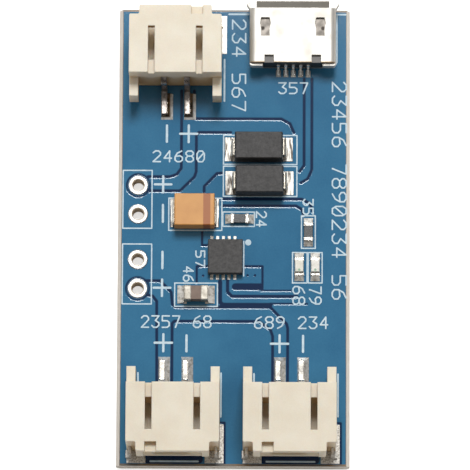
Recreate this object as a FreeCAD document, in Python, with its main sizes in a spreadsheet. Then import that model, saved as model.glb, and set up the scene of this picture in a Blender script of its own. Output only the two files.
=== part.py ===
import FreeCAD, Part
import os
import Sketcher
from FreeCAD import Placement, Rotation, Vector

# Lithium battery charger module: a small circuit board with three moulded two-pin sockets, a folded
# power port, two diodes, a tantalum capacitor, chip parts, two indicators and four plated holes.
# The origin is the centre of the board's underside. +Y runs to the power port, +Z is up.

SIZES = {
    # Circuit board, snapped out of a panel along two scored sides
    "board_width": 20.15,
    "board_length": 40.3,
    "board_thickness": 1.6,
    "score_inset": 0.3,
    "score_depth": 0.53,
    # Solder land: how far every soldered piece stands above the board
    "land_thickness": 0.06,
    "fit_clearance": 0.01,
    # Four plated holes in two pairs along the left edge
    "header_pitch": 2.54,
    "header_inset": 1.748,
    "upper_header_y": 3.206,
    "lower_header_y": -3.369,
    "hole_radius": 0.5,
    "plating_wall": 0.16,
    "eyelet_radius": 0.92,
    "eyelet_flange": 0.05,
    "eyelet_round": 0.12,
    # Moulded two-pin socket, side entry
    "socket_width": 8.0,
    "socket_depth": 5.96,
    "socket_height": 5.45,
    "nose_width": 6.28,
    "shoulder_depth": 0.8,
    "mouth_width": 5.0,
    "mouth_floor": 1.5,
    "roof_thickness": 0.8,
    "rear_wall": 1.22,
    "floor_gap": 1.0,
    "floor_setback": 0.22,
    "cheek_underside": 2.1,
    "relief_length": 4.2,
    "slot_centre": 2.07,
    "slot_width": 0.57,
    "slot_end": 4.1,
    "groove_depth": 0.65,
    "notch_centre": 1.87,
    "notch_width": 1.0,
    "notch_length": 0.8,
    "notch_depth": 0.6,
    "post_width": 0.78,
    "post_length": 1.66,
    "post_height": 3.4,
    "post_underside": 0.8,
    "socket_round": 0.14,
    # Square wire pins of the sockets
    "pin_pitch": 2.0,
    "pin_size": 0.5,
    "pin_axis_height": 3.35,
    "pin_tip_depth": 1.35,
    "pin_drop": 0.13,
    "pin_foot_reach": 2.66,
    "pin_bend_radius": 0.12,
    "pin_tip_bevel": 0.12,
    "pin_toe_radius": 0.16,
    # Sheet tabs that hold the socket's front to the board
    "tab_centre": 3.68,
    "tab_thickness": 0.25,
    "tab_height": 2.5,
    "tab_insert": 0.9,
    "tab_foot_reach": 0.55,
    "tab_bend_radius": 0.2,
    # Lands and solder of a socket
    "pin_land_width": 1.05,
    "pin_land_start": 0.75,
    "pin_land_end": 3.06,
    "pin_solder_height": 0.3,
    "land_shift": 0.16,
    "panel_land_shift": 0.25,
    "tab_land_inner": 2.55,
    "tab_land_outer": 4.18,
    "tab_land_length": 3.4,
    "tab_land_ahead": 0.28,
    # Places of the three sockets
    "panel_socket_x": -5.11,
    "battery_socket_x": -5.129,
    "output_socket_x": 4.872,
    "panel_nose_inset": 0.83,
    "lower_nose_inset": 0.51,
    # Power port, a folded shell round a moulded insert with five contacts
    "port_x": 5.06,
    "port_width": 7.5,
    "port_height": 2.45,
    "port_length": 4.85,
    "port_front_inset": 0.35,
    "shell_sheet": 0.25,
    "shell_floor_width": 5.5,
    "shell_side_height": 1.1,
    "shell_corner_radius": 0.5,
    "lip_reach": 0.58,
    "lip_rise": 0.4,
    "top_lip_width": 6.35,
    "side_lip_height": 1.0,
    "side_lip_flare": 0.28,
    "latch_window_centre": 2.39,
    "latch_window_width": 0.92,
    "latch_window_neck": 0.72,
    "latch_window_length": 1.63,
    "latch_window_inset": 0.87,
    "latch_window_straight": 0.62,
    "latch_window_widest": 1.12,
    "rear_notch_centre": 2.05,
    "rear_notch_width": 0.8,
    "rear_notch_length": 0.65,
    "rear_tab_width": 1.15,
    "rear_tab_height": 0.9,
    "rear_tab_level": 1.2,
    "insert_width": 5.1,
    "insert_length": 1.7,
    "insert_roof_gap": 0.02,
    "tongue_width": 3.7,
    "tongue_length": 2.6,
    "tongue_thickness": 0.6,
    "tongue_height": 1.25,
    "contact_pitch": 0.65,
    "contact_shift": 0.06,
    "contact_width": 0.25,
    "contact_sheet": 0.15,
    "contact_foot_reach": 0.5,
    "contact_land_width": 0.46,
    "contact_solder_height": 0.12,
    "contact_bend_radius": 0.05,
    "shell_land_width": 1.5,
    "shell_land_length": 1.6,
    # Two moulded power diodes
    "upper_diode_x": 2.14,
    "lower_diode_x": 2.21,
    "upper_diode_y": 7.69,
    "lower_diode_y": 4.7,
    "diode_length": 4.2,
    "diode_width": 2.5,
    "diode_height": 2.15,
    "diode_lead_width": 1.45,
    "diode_lead_sheet": 0.2,
    "diode_bend_room": 0.08,
    "diode_lead_level": 1.1,
    "diode_foot_length": 1.1,
    "diode_land_ahead": 0.58,
    "diode_land_width": 2.1,
    "diode_draft": 0.09,
    # Tantalum capacitor
    "tantalum_x": -3.41,
    "tantalum_y": 2.03,
    "tantalum_length": 3.5,
    "tantalum_width": 2.85,
    "tantalum_height": 1.9,
    "tantalum_lead_width": 2.2,
    "tantalum_lead_sheet": 0.13,
    "tantalum_bend_room": 0.03,
    "tantalum_lead_level": 0.95,
    "tantalum_foot_length": 0.8,
    "tantalum_land_ahead": 0.2,
    "tantalum_land_width": 2.5,
    "tantalum_draft": 0.03,
    # What the moulded bodies share
    "mould_round": 0.08,
    "body_standoff": 0.03,
    # Two chip resistors
    "resistor_length": 1.6,
    "resistor_width": 0.82,
    "resistor_height": 0.45,
    "resistor_cap_length": 0.3,
    "upper_resistor_x": 0.5,
    "upper_resistor_y": 1.5,
    "right_resistor_x": 6.47,
    "right_resistor_y": 0.36,
    # Chip capacitor
    "capacitor_length": 2.1,
    "capacitor_width": 1.25,
    "capacitor_height": 1.2,
    "capacitor_cap_length": 0.62,
    "capacitor_land_ahead": 0.57,
    "capacitor_land_width": 1.6,
    "capacitor_x": -3.25,
    "capacitor_y": -5.17,
    "cap_wall": 0.03,
    # Lands of the chip parts
    "chip_land_ahead": 0.45,
    "chip_land_width": 0.84,
    "chip_land_under": 0.25,
    "chip_solder_height": 0.25,
    "chip_solder_taper": 0.08,
    # Charger chip, leadless, with a heat pad
    "chip_x": -0.72,
    "chip_y": -1.92,
    "chip_side": 3.0,
    "chip_height": 0.85,
    "chip_bevel": 0.05,
    "chip_lead_pitch": 0.5,
    "chip_lead_width": 0.26,
    "chip_lead_length": 0.4,
    "chip_lead_sheet": 0.2,
    "chip_pad_width": 2.4,
    "chip_pad_depth": 1.65,
    "chip_land_reach": 0.42,
    "chip_land_shift": -0.18,
    # Two indicator lamps
    "left_lamp_x": 5.68,
    "right_lamp_x": 7.07,
    "lamp_y": -2.7,
    "lamp_length": 1.6,
    "lamp_width": 0.85,
    "lamp_base_height": 0.3,
    "lamp_lens_length": 1.1,
    "lamp_lens_height": 0.32,
    "lamp_lens_draft": 0.06,
    "lamp_cap_length": 0.3,
}

# How near two coordinates have to be to count as the same
LOOSE = 1e-5
CONTACT_COUNT = 5
CHIP_LEADS_PER_SIDE = 5


class Size:
    """A size of the sheet, or a sum worked out from such sizes, with its value and its formula."""

    def __init__(self, value, formula):
        self.value = value
        self.formula = formula

    def __add__(self, other):
        other = as_size(other)
        return Size(self.value + other.value, f"({self.formula} + {other.formula})")

    def __sub__(self, other):
        other = as_size(other)
        return Size(self.value - other.value, f"({self.formula} - {other.formula})")

    def __mul__(self, other):
        other = as_size(other)
        return Size(self.value * other.value, f"({self.formula} * {other.formula})")

    def __truediv__(self, other):
        other = as_size(other)
        return Size(self.value / other.value, f"({self.formula} / {other.formula})")

    def __radd__(self, other):
        return as_size(other) + self

    def __rsub__(self, other):
        return as_size(other) - self

    def __rmul__(self, other):
        return as_size(other) * self

    def __neg__(self):
        return Size(-self.value, f"(0 - {self.formula})")


def as_size(number):
    return number if isinstance(number, Size) else Size(float(number), f"({float(number)})")


class SheetSizes:
    """The driving dimensions, written to a spreadsheet and read back by name."""

    def __init__(self, document, sizes):
        self.sheet = document.addObject("Spreadsheet::Sheet", "Sizes")
        for row, (name, value) in enumerate(sizes.items(), start=1):
            self.sheet.set(f"A{row}", name)
            self.sheet.set(f"B{row}", str(value))
            self.sheet.setAlias(f"B{row}", name)
            setattr(self, name, Size(value, f"Sizes.{name}"))


doc = FreeCAD.newDocument("charger_module")
d = SheetSizes(doc, SIZES)
doc.recompute()
parts = []


def bind(thing, **fields):
    """Ties properties to formulas; two underscores stand for the dot in a property's path."""
    for field, size in fields.items():
        thing.setExpression(field.replace("__", "."), as_size(size).formula)


def place(thing, x=0, y=0, z=0, turn=0):
    thing.Placement = Placement(Vector(), Rotation(Vector(0, 0, 1), turn))
    bind(thing, Placement__Base__x=x, Placement__Base__y=y, Placement__Base__z=z)


def keep(thing, name):
    """Names a finished sub-part and lists it for export."""
    thing.Label = name
    parts.append(thing)
    return thing


def new_body(name):
    return doc.addObject("PartDesign::Body", name)


def attach(body, sketch, role, lift):
    plane = [item for item in body.Origin.OriginFeatures if item.Role == role][0]
    sketch.AttachmentSupport = [(plane, "")]
    sketch.MapMode = "FlatFace"
    bind(sketch, AttachmentOffset__Base__z=lift)


def outline(body, name, role, corners, lift=0):
    """A sketch of one closed outline, each corner tied to the sheet in both directions."""
    sketch = body.newObject("Sketcher::SketchObject", name)
    attach(body, sketch, role, lift)
    corners = [(as_size(across), as_size(up)) for across, up in corners]
    points = [Vector(across.value, up.value, 0) for across, up in corners]
    count = len(points)
    for index in range(count):
        sketch.addGeometry(Part.LineSegment(points[index], points[(index + 1) % count]))
    for index in range(count):
        sketch.addConstraint(Sketcher.Constraint("Coincident", index, 2, (index + 1) % count, 1))
    for index, (across, up) in enumerate(corners):
        for kind, size in (("DistanceX", across), ("DistanceY", up)):
            number = sketch.addConstraint(Sketcher.Constraint(kind, -1, 1, index, 1, size.value))
            sketch.setExpression(f"Constraints[{number}]", size.formula)
    return sketch


def rectangle(body, name, role, low, high, lift=0):
    corners = [(low[0], low[1]), (high[0], low[1]), (high[0], high[1]), (low[0], high[1])]
    return outline(body, name, role, corners, lift)


def circles(body, name, role, centres, radius, lift=0):
    sketch = body.newObject("Sketcher::SketchObject", name)
    attach(body, sketch, role, lift)
    for index, (across, up) in enumerate(centres):
        across, up = as_size(across), as_size(up)
        middle = Vector(across.value, up.value, 0)
        sketch.addGeometry(Part.Circle(middle, Vector(0, 0, 1), radius.value))
        for kind, size in (("DistanceX", across), ("DistanceY", up)):
            number = sketch.addConstraint(Sketcher.Constraint(kind, -1, 1, index, 3, size.value))
            sketch.setExpression(f"Constraints[{number}]", size.formula)
        number = sketch.addConstraint(Sketcher.Constraint("Radius", index, radius.value))
        sketch.setExpression(f"Constraints[{number}]", radius.formula)
    return sketch


def extrude(body, sketch, kind, length, reverse=False, both=False):
    feature = body.newObject(f"PartDesign::{kind}", f"{sketch.Name}_{kind.lower()}")
    feature.Profile = sketch
    feature.SideType = "Symmetric" if both else "One side"
    feature.Reversed = reverse
    bind(feature, Length=length)
    sketch.Visibility = False
    return feature


def pad(body, sketch, length, reverse=False, both=False):
    return extrude(body, sketch, "Pad", length, reverse, both)


def pocket(body, sketch, length, reverse=False, both=False):
    """Cuts the outline out, and makes sure that the cut met material."""
    doc.recompute()
    before = body.Shape.Volume
    feature = extrude(body, sketch, "Pocket", length, reverse, both)
    doc.recompute()
    if not body.Shape.Volume < before:
        raise ValueError(f"{feature.Name} cuts nothing")
    return feature


def dress(body, kind, name, size, wanted):
    """Rounds or bevels the edges that the test picks."""
    doc.recompute()
    base = body.Tip
    picked = [f"Edge{i}" for i, edge in enumerate(base.Shape.Edges, start=1) if wanted(edge)]
    feature = body.newObject(f"PartDesign::{kind}", name)
    feature.Base = (base, picked)
    bind(feature, **{"Radius" if kind == "Fillet" else "Size": size})
    return feature


def runs_along(edge, direction):
    return len(edge.Vertexes) == 2 and edge.tangentAt(edge.FirstParameter).cross(direction).Length < LOOSE


def lies_at(edge, **wanted):
    """True where the whole edge lies at the given coordinates."""
    box = edge.BoundBox
    for axis, size in wanted.items():
        low, high = getattr(box, axis.upper() + "Min"), getattr(box, axis.upper() + "Max")
        if max(abs(low - as_size(size).value), abs(high - as_size(size).value)) > LOOSE:
            return False
    return True


def block(name, low, high):
    """A box primitive between two corners."""
    low = [as_size(value) for value in low]
    high = [as_size(value) for value in high]
    box = doc.addObject("Part::Box", name)
    bind(box, Length=high[0] - low[0], Width=high[1] - low[1], Height=high[2] - low[2])
    bind(box, Placement__Base__x=low[0], Placement__Base__y=low[1], Placement__Base__z=low[2])
    return box


def frustum(name, low, high, top_low, top_high):
    """A block whose top, at high[2], is the rectangle from top_low to top_high."""
    wedge = doc.addObject("Part::Wedge", name)
    # The primitive tapers along its own Y, so it is stood up by a quarter turn about X.
    wedge.Placement = Placement(Vector(), Rotation(Vector(1, 0, 0), 90))
    bind(wedge, Xmin=low[0], Xmax=high[0], Ymin=low[2], Ymax=high[2])
    bind(wedge, Zmin=-as_size(high[1]), Zmax=-as_size(low[1]))
    bind(wedge, X2min=top_low[0], X2max=top_high[0])
    bind(wedge, Z2min=-as_size(top_high[1]), Z2max=-as_size(top_low[1]))
    return wedge


def cut(name, base, tool):
    result = doc.addObject("Part::Cut", name)
    result.Base = base
    result.Tool = tool
    return result


def fuse(name, *pieces):
    result = doc.addObject("Part::MultiFuse", name)
    result.Shapes = list(pieces)
    return result


def group(name, *pieces):
    result = doc.addObject("Part::Compound", name)
    result.Links = list(pieces)
    return result


def circuit_board():
    """The board: scored sides, and four stepped holes that take the plated eyelets."""
    body = new_body("board")
    half, thick = d.board_width / 2, d.board_thickness
    edge = half - d.score_inset
    section = [
        (-edge, 0), (edge, 0), (half, d.score_depth), (half, thick - d.score_depth),
        (edge, thick), (-edge, thick), (-half, thick - d.score_depth), (-half, d.score_depth),
    ]
    pad(body, outline(body, "board_section", "XZ_Plane", section), d.board_length, both=True)
    bore = d.hole_radius + d.plating_wall + d.fit_clearance
    holes = circles(body, "board_holes", "XY_Plane", header_places(), bore)
    pocket(body, holes, thick, reverse=True)
    seat = d.eyelet_radius + d.fit_clearance
    seats = circles(body, "board_hole_seats", "XY_Plane", header_places(), seat)
    pocket(body, seats, d.eyelet_flange + d.fit_clearance, reverse=True)
    keep(body, "circuit_board")


def header_places():
    """Centres of the plated holes, from the top pair down."""
    x = d.header_inset - d.board_width / 2
    half = d.header_pitch / 2
    return [
        (x, d.upper_header_y + half), (x, d.upper_header_y - half),
        (x, d.lower_header_y + half), (x, d.lower_header_y - half),
    ]


def eyelets():
    """Plated holes: a barrel with a flange on both faces of the board."""
    names = ["panel_plus_eyelet", "panel_minus_eyelet", "battery_minus_eyelet", "battery_plus_eyelet"]
    for name, (x, y) in zip(names, header_places()):
        body = new_body(name + "_body")
        inner, outer = d.hole_radius, d.eyelet_radius
        barrel = inner + d.plating_wall
        top = d.board_thickness + d.eyelet_flange
        section = [
            (inner, 0), (outer, 0), (outer, d.eyelet_flange), (barrel, d.eyelet_flange),
            (barrel, d.board_thickness), (outer, d.board_thickness), (outer - d.eyelet_round, top),
            (inner + d.eyelet_flange, top), (inner, d.board_thickness),
        ]
        turn = body.newObject("PartDesign::Revolution", name + "_turn")
        turn.Profile = outline(body, name + "_section", "XZ_Plane", section)
        turn.ReferenceAxis = (turn.Profile[0], ["V_Axis"])
        turn.Angle = 360
        place(body, x, y)
        keep(body, name)


def socket_housing(name):
    """Moulded shroud of a socket: mouth towards -Y, rear wall at y = 0, foot at z = 0."""
    body = new_body(name + "_body")
    half, nose, front = d.socket_width / 2, d.nose_width / 2, d.socket_depth
    shoulder = front - d.shoulder_depth
    plan = [
        (-half, 0), (-half, -shoulder), (-nose, -shoulder), (-nose, -front),
        (nose, -front), (nose, -shoulder), (half, -shoulder), (half, 0),
    ]
    pad(body, outline(body, name + "_plan", "XY_Plane", plan), d.socket_height)
    for side, edge in (("left", -half), ("right", half - d.post_width)):
        post = rectangle(body, f"{name}_{side}_post", "XY_Plane", (edge, 0),
                         (edge + d.post_width, d.post_length), lift=d.post_underside)
        pad(body, post, d.post_height - d.post_underside)

    def front_corner(edge):
        upright = runs_along(edge, Vector(0, 0, 1)) and edge.BoundBox.YMin < -shoulder.value + LOOSE
        return upright and any(lies_at(edge, x=x) for x in (-half, half, -nose, nose))

    dress(body, "Fillet", name + "_corners", d.socket_round, front_corner)

    mouth, roof = d.mouth_width / 2, d.socket_height - d.roof_thickness
    cavity = rectangle(body, name + "_mouth", "XZ_Plane", (-mouth, d.mouth_floor), (mouth, roof),
                       lift=front)
    pocket(body, cavity, front - d.rear_wall)
    relief = rectangle(body, name + "_relief", "XZ_Plane", (-mouth, 0), (mouth, d.floor_gap), lift=front)
    pocket(body, relief, d.relief_length)
    setback = rectangle(body, name + "_setback", "XZ_Plane", (-mouth, 0), (mouth, d.mouth_floor),
                        lift=front)
    pocket(body, setback, d.floor_setback)

    # The nose's cheeks stop above the tabs.
    for side, low, high in (("left", -nose, -mouth), ("right", mouth, nose)):
        corner = rectangle(body, f"{name}_{side}_cheek", "XZ_Plane", (low, 0),
                           (high, d.cheek_underside), lift=front)
        pocket(body, corner, d.shoulder_depth)

    top = d.socket_height
    for side, sign in (("left", -1), ("right", 1)):
        low = sign * d.slot_centre - d.slot_width / 2
        high = sign * d.slot_centre + d.slot_width / 2
        slot = rectangle(body, f"{name}_{side}_slot", "XY_Plane", (low, -d.slot_end),
                         (high, -d.rear_wall), lift=top)
        pocket(body, slot, d.roof_thickness + d.fit_clearance)
        groove = rectangle(body, f"{name}_{side}_groove", "XY_Plane", (low, -d.rear_wall),
                           (high, 0), lift=top)
        pocket(body, groove, d.groove_depth)
        # The plate of the front tab is pressed into a slit behind the shoulder.
        inner = sign * d.tab_centre - d.tab_thickness / 2 - d.fit_clearance
        outer = sign * d.tab_centre + d.tab_thickness / 2 + d.fit_clearance
        slit = rectangle(body, f"{name}_{side}_slit", "XZ_Plane", (inner, 0),
                         (outer, d.tab_height + d.fit_clearance), lift=shoulder)
        pocket(body, slit, d.tab_insert + d.fit_clearance)
    middle = -d.notch_centre
    notch = rectangle(body, name + "_notch", "XY_Plane", (middle - d.notch_width / 2, -front),
                      (middle + d.notch_width / 2, d.notch_length - front), lift=top)
    pocket(body, notch, d.notch_depth)

    reach = d.pin_size / 2 + d.fit_clearance
    for side, sign in (("plus", -1), ("minus", 1)):
        x = sign * d.pin_pitch / 2
        level = d.pin_axis_height - d.land_thickness
        hole = rectangle(body, f"{name}_{side}_hole", "XZ_Plane", (x - reach, level - reach),
                         (x + reach, level + reach))
        pocket(body, hole, d.rear_wall, reverse=True)
    return body


def socket_pin(name):
    """Square wire pin, bent down behind the socket and out along the board, in the plane x = 0."""
    body = new_body(name + "_body")
    reach, level = d.pin_size / 2, d.pin_axis_height
    tip = d.pin_tip_depth - d.socket_depth
    drop, seat = d.pin_drop, d.land_thickness
    path = [
        (tip, level - reach), (tip, level + reach), (drop + d.pin_size, level + reach),
        (drop + d.pin_size, seat + d.pin_size), (d.pin_foot_reach, seat + d.pin_size),
        (d.pin_foot_reach, seat), (drop, seat), (drop, level - reach),
    ]
    pad(body, outline(body, name + "_path", "YZ_Plane", path), d.pin_size, both=True)
    inner = [(drop, level - reach), (drop + d.pin_size, seat + d.pin_size)]
    outer = [(drop + d.pin_size, level + reach), (drop, seat)]
    for title, corners, radius in (("inner", inner, d.pin_bend_radius),
                                   ("outer", outer, d.pin_bend_radius + d.pin_size)):
        dress(body, "Fillet", f"{name}_{title}_bends", radius,
              lambda edge: any(lies_at(edge, y=y, z=z) for y, z in corners))
    dress(body, "Fillet", name + "_toe", d.pin_toe_radius,
          lambda edge: lies_at(edge, y=d.pin_foot_reach) and runs_along(edge, Vector(0, 0, 1)))
    dress(body, "Chamfer", name + "_tip", d.pin_tip_bevel, lambda edge: lies_at(edge, y=tip))
    return body


def socket_tab(name, sign):
    """Sheet tab: an upright plate pressed into the housing, with a foot turned outwards."""
    body = new_body(name + "_body")
    seat, sheet = d.land_thickness, d.tab_thickness
    shoulder = d.socket_depth - d.shoulder_depth
    inner = sign * (d.tab_centre - sheet / 2)
    outer = sign * (d.tab_centre + sheet / 2)
    toe = sign * (d.tab_centre - sheet / 2 + d.tab_foot_reach)
    plate = rectangle(body, name + "_plate", "XZ_Plane", (inner, seat), (outer, seat + d.tab_height),
                      lift=shoulder - d.tab_insert)
    pad(body, plate, d.tab_insert + d.shoulder_depth - sheet / 2)
    foot = rectangle(body, name + "_foot", "XZ_Plane", (outer, seat), (toe, seat + sheet),
                     lift=shoulder + d.fit_clearance)
    pad(body, foot, d.shoulder_depth - sheet / 2 - d.fit_clearance)
    dress(body, "Fillet", name + "_bend", d.tab_bend_radius + sheet,
          lambda edge: lies_at(edge, x=inner, z=seat) and runs_along(edge, Vector(0, 1, 0)))
    dress(body, "Fillet", name + "_inner_bend", d.tab_bend_radius,
          lambda edge: lies_at(edge, x=outer, z=seat + sheet) and runs_along(edge, Vector(0, 1, 0)))
    return body


def solder_joint(name, land_low, land_high, foot_low, foot_high, height, heel):
    """Solder drawn up round a foot: a flat land that rises to the foot, less the foot back to its heel."""
    mound = frustum(name + "_mound", (land_low[0], land_low[1], 0), (land_high[0], land_high[1], height),
                    foot_low, foot_high)
    foot = block(name + "_foot", (foot_low[0], heel, d.land_thickness),
                 (*foot_high, height + d.land_thickness))
    return cut(name, mound, foot)


def socket_solder(name, shift):
    """Two pin joints behind the socket and two tab lands in front, all a little to one side."""
    joints = []
    reach = d.pin_size / 2
    for side, sign in (("plus", -1), ("minus", 1)):
        x = sign * d.pin_pitch / 2
        start = d.pin_drop + d.pin_size + d.pin_bend_radius
        land_low = (x + shift - d.pin_land_width / 2, d.pin_land_start)
        land_high = (x + shift + d.pin_land_width / 2, d.pin_land_end)
        foot_low, foot_high = (x - reach, start), (x + reach, d.pin_foot_reach)
        joints.append(solder_joint(f"{name}_{side}_joint", land_low, land_high, foot_low, foot_high,
                                   d.land_thickness + d.pin_solder_height, d.pin_drop))
    front = d.socket_depth
    for side, sign in (("left", -1), ("right", 1)):
        middle = shift + sign * (d.tab_land_inner + d.tab_land_outer) / 2
        half = (d.tab_land_outer - d.tab_land_inner) / 2
        edge = -(front + d.tab_land_ahead)
        joints.append(block(f"{name}_{side}_land", (middle - half, edge, 0),
                            (middle + half, edge + d.tab_land_length, d.land_thickness)))
    return group(name + "_group", *joints)


def sockets():
    """Three sockets alike: the panel's faces +Y, the battery's and the output's face -Y."""
    half = d.board_length / 2
    panel_y = half - d.panel_nose_inset - d.socket_depth
    lower_y = d.lower_nose_inset + d.socket_depth - half
    rows = [
        ("panel_socket", d.panel_socket_x, panel_y, 180, -d.panel_land_shift),
        ("battery_socket", d.battery_socket_x, lower_y, 0, d.land_shift),
        ("output_socket", d.output_socket_x, lower_y, 0, d.land_shift),
    ]
    floor = d.board_thickness
    for name, x, y, turn, shift in rows:
        side = -1 if turn else 1
        housing = socket_housing(name)
        place(housing, x, y, floor + d.land_thickness, turn)
        keep(housing, name + "_housing")
        for pole, sign in (("plus", -1), ("minus", 1)):
            pin = socket_pin(f"{name}_{pole}")
            place(pin, x + side * sign * d.pin_pitch / 2, y, floor, turn)
            keep(pin, f"{name}_{pole}_pin")
        for hand, sign in (("left", -1), ("right", 1)):
            tab = socket_tab(f"{name}_{hand}", sign)
            place(tab, x, y, floor, turn)
            keep(tab, f"{name}_{hand}_tab")
        solder = socket_solder(name, shift)
        place(solder, x, y, floor, turn)
        keep(solder, name + "_solder")


def port_shell():
    """Folded sheet shell of the power port: rear edge at y = 0, mouth towards +Y."""
    body = new_body("port_shell_body")
    half, flat, top = d.port_width / 2, d.shell_floor_width / 2, d.port_height
    sheet, length = d.shell_sheet, d.port_length
    section = [(-flat, 0), (flat, 0), (half, d.shell_side_height),
               (half, top), (-half, top), (-half, d.shell_side_height)]
    pad(body, outline(body, "port_section", "XZ_Plane", section), length, reverse=True)
    dress(body, "Fillet", "port_folds", d.shell_corner_radius,
          lambda edge: runs_along(edge, Vector(0, 1, 0)))
    doc.recompute()
    base = body.Tip
    ends = [f"Face{i}" for i, face in enumerate(base.Shape.Faces, start=1)
            if abs(face.normalAt(0, 0).y) > 1 - LOOSE]
    hollow = body.newObject("PartDesign::Thickness", "port_hollow")
    hollow.Base = (base, ends)
    hollow.Reversed = True
    bind(hollow, Value=sheet)

    window_end = length - d.latch_window_inset
    for side, sign in (("left", -1), ("right", 1)):
        x = sign * d.latch_window_centre
        wide, neck = d.latch_window_width / 2, d.latch_window_neck / 2
        start = window_end - d.latch_window_length
        straight, widest = start + d.latch_window_straight, start + d.latch_window_widest
        vase = [
            (x - neck, start), (x + neck, start), (x + neck, straight), (x + wide, widest),
            (x + neck, window_end), (x - neck, window_end), (x - wide, widest), (x - neck, straight),
        ]
        window = outline(body, f"port_{side}_window", "XY_Plane", vase, lift=top)
        pocket(body, window, sheet + d.fit_clearance)
        notch_x = sign * d.rear_notch_centre
        notch_low, notch_high = notch_x - d.rear_notch_width / 2, notch_x + d.rear_notch_width / 2
        notch = rectangle(body, f"port_{side}_notch", "XY_Plane", (notch_low, 0),
                          (notch_high, d.rear_notch_length), lift=top)
        pocket(body, notch, sheet + d.fit_clearance)

    # At the rear corners the side walls are turned in behind the insert.
    for side, sign in (("left", -1), ("right", 1)):
        turned = rectangle(body, f"port_{side}_rear_tab", "XY_Plane", (sign * half, -sheet),
                           (sign * (half - d.rear_tab_width), 0), lift=d.rear_tab_level)
        pad(body, turned, d.rear_tab_height)
        dress(body, "Fillet", f"port_{side}_rear_fold", sheet,
              lambda edge: lies_at(edge, x=sign * half, y=-sheet))

    # Flared lips guide the plug in: one above, one below and one at each side.
    end, rise, reach = length, d.lip_rise, d.lip_reach
    upper = [(end, top - sheet), (end + reach, top - sheet + rise),
             (end + reach - sheet / 2, top + rise), (end, top)]
    pad(body, outline(body, "port_top_lip", "YZ_Plane", upper), d.top_lip_width, both=True)
    past = end + d.port_front_inset + 2 * d.land_thickness
    lower = [(end, 0), (past, 0), (past + reach / 2, -rise / 2),
             (past + reach / 2 + sheet / 2, sheet / 2 - rise / 2), (past + sheet / 2, sheet), (end, sheet)]
    pad(body, outline(body, "port_bottom_lip", "YZ_Plane", lower),
        d.shell_floor_width - 2 * d.shell_corner_radius, both=True)
    lip_level = top - d.shell_corner_radius - d.side_lip_height
    for side, sign in (("left", -1), ("right", 1)):
        wall = [(sign * (half - sheet), end), (sign * half, end),
                (sign * (half + d.side_lip_flare), end + reach - sheet / 2),
                (sign * (half + d.side_lip_flare - sheet), end + reach)]
        pad(body, outline(body, f"port_{side}_lip", "XY_Plane", wall, lift=lip_level), d.side_lip_height)
    return body


def contact_x(index):
    """Places of the contacts across the port, counted from the left."""
    return (index - (CONTACT_COUNT - 1) / 2) * d.contact_pitch + d.contact_shift


def port_insert():
    """Black moulded insert of the port: a rear block with a tongue, slit from below for the contacts."""
    body = new_body("port_insert_body")
    half, sheet = d.insert_width / 2, d.shell_sheet
    floor = sheet + d.fit_clearance
    roof = d.port_height - sheet - d.insert_roof_gap
    rear = rectangle(body, "insert_block", "XZ_Plane", (-half, floor), (half, roof))
    pad(body, rear, d.insert_length, reverse=True)
    tongue = rectangle(body, "insert_tongue", "XZ_Plane", (-d.tongue_width / 2, d.tongue_height),
                       (d.tongue_width / 2, d.tongue_height + d.tongue_thickness))
    pad(body, tongue, d.insert_length + d.tongue_length, reverse=True)
    reach = d.contact_width / 2 + d.fit_clearance
    for index in range(CONTACT_COUNT):
        x = contact_x(index)
        slit = rectangle(body, f"insert_slit_{index + 1}", "XZ_Plane", (x - reach, floor),
                         (x + reach, d.tongue_height + d.contact_sheet))
        pocket(body, slit, d.insert_length + d.tongue_length, reverse=False)
    return body


def port_contact(index):
    """Strip contact along the underside of the tongue, down behind the block and out on the board."""
    name = f"port_contact_{index + 1}"
    body = new_body(name)
    sheet, top = d.contact_sheet, d.tongue_height + d.contact_sheet
    tip = d.insert_length + d.tongue_length - sheet
    rear = -sheet - d.fit_clearance
    toe = rear - d.contact_foot_reach
    path = [(tip, top), (tip, top - sheet), (rear + sheet, top - sheet), (rear + sheet, 0), (toe, 0),
            (toe, sheet), (rear, sheet), (rear, top)]
    pad(body, outline(body, name + "_path", "YZ_Plane", path), d.contact_width, both=True)
    bends = [(rear, top), (rear + sheet, 0)]
    dress(body, "Fillet", name + "_bends", d.contact_bend_radius + sheet / 2,
          lambda edge: any(lies_at(edge, y=y, z=z) for y, z in bends))
    place(body, x=contact_x(index))
    return body


def power_port():
    x, floor = d.port_x, d.board_thickness
    y = d.board_length / 2 - d.port_front_inset - d.port_length
    shell = port_shell()
    place(shell, x, y, floor + d.land_thickness)
    keep(shell, "power_port_shell")
    insert = port_insert()
    place(insert, x, y, floor + d.land_thickness)
    keep(insert, "power_port_insert")
    contacts = group("port_contact_group", *[port_contact(index) for index in range(CONTACT_COUNT)])
    place(contacts, x, y, floor + d.land_thickness)
    keep(contacts, "power_port_contacts")
    lands = []
    start = d.contact_sheet + d.fit_clearance + d.contact_foot_reach
    bend_end = -d.contact_sheet - d.fit_clearance - d.contact_bend_radius
    for index in range(CONTACT_COUNT):
        middle, half, reach = contact_x(index), d.contact_land_width / 2, d.contact_width / 2
        lands.append(solder_joint(
            f"port_land_{index + 1}", (middle - half, -start - d.contact_sheet), (middle + half, bend_end),
            (middle - reach, -start), (middle + reach, bend_end),
            d.land_thickness + d.contact_solder_height, -start))
    land_starts = {"rear": d.shell_land_length / 2, "front": d.port_length - d.shell_land_length}
    for side, sign in (("left", -1), ("right", 1)):
        for end, land_y in land_starts.items():
            half = d.shell_land_width / 2
            middle = sign * (d.shell_floor_width / 2 - half)
            lands.append(block(f"port_{side}_{end}_land", (middle - half, land_y, 0),
                               (middle + half, land_y + d.shell_land_length, d.land_thickness)))
    solder = group("port_solder_group", *lands)
    place(solder, x, y, floor)
    keep(solder, "power_port_solder")


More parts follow.
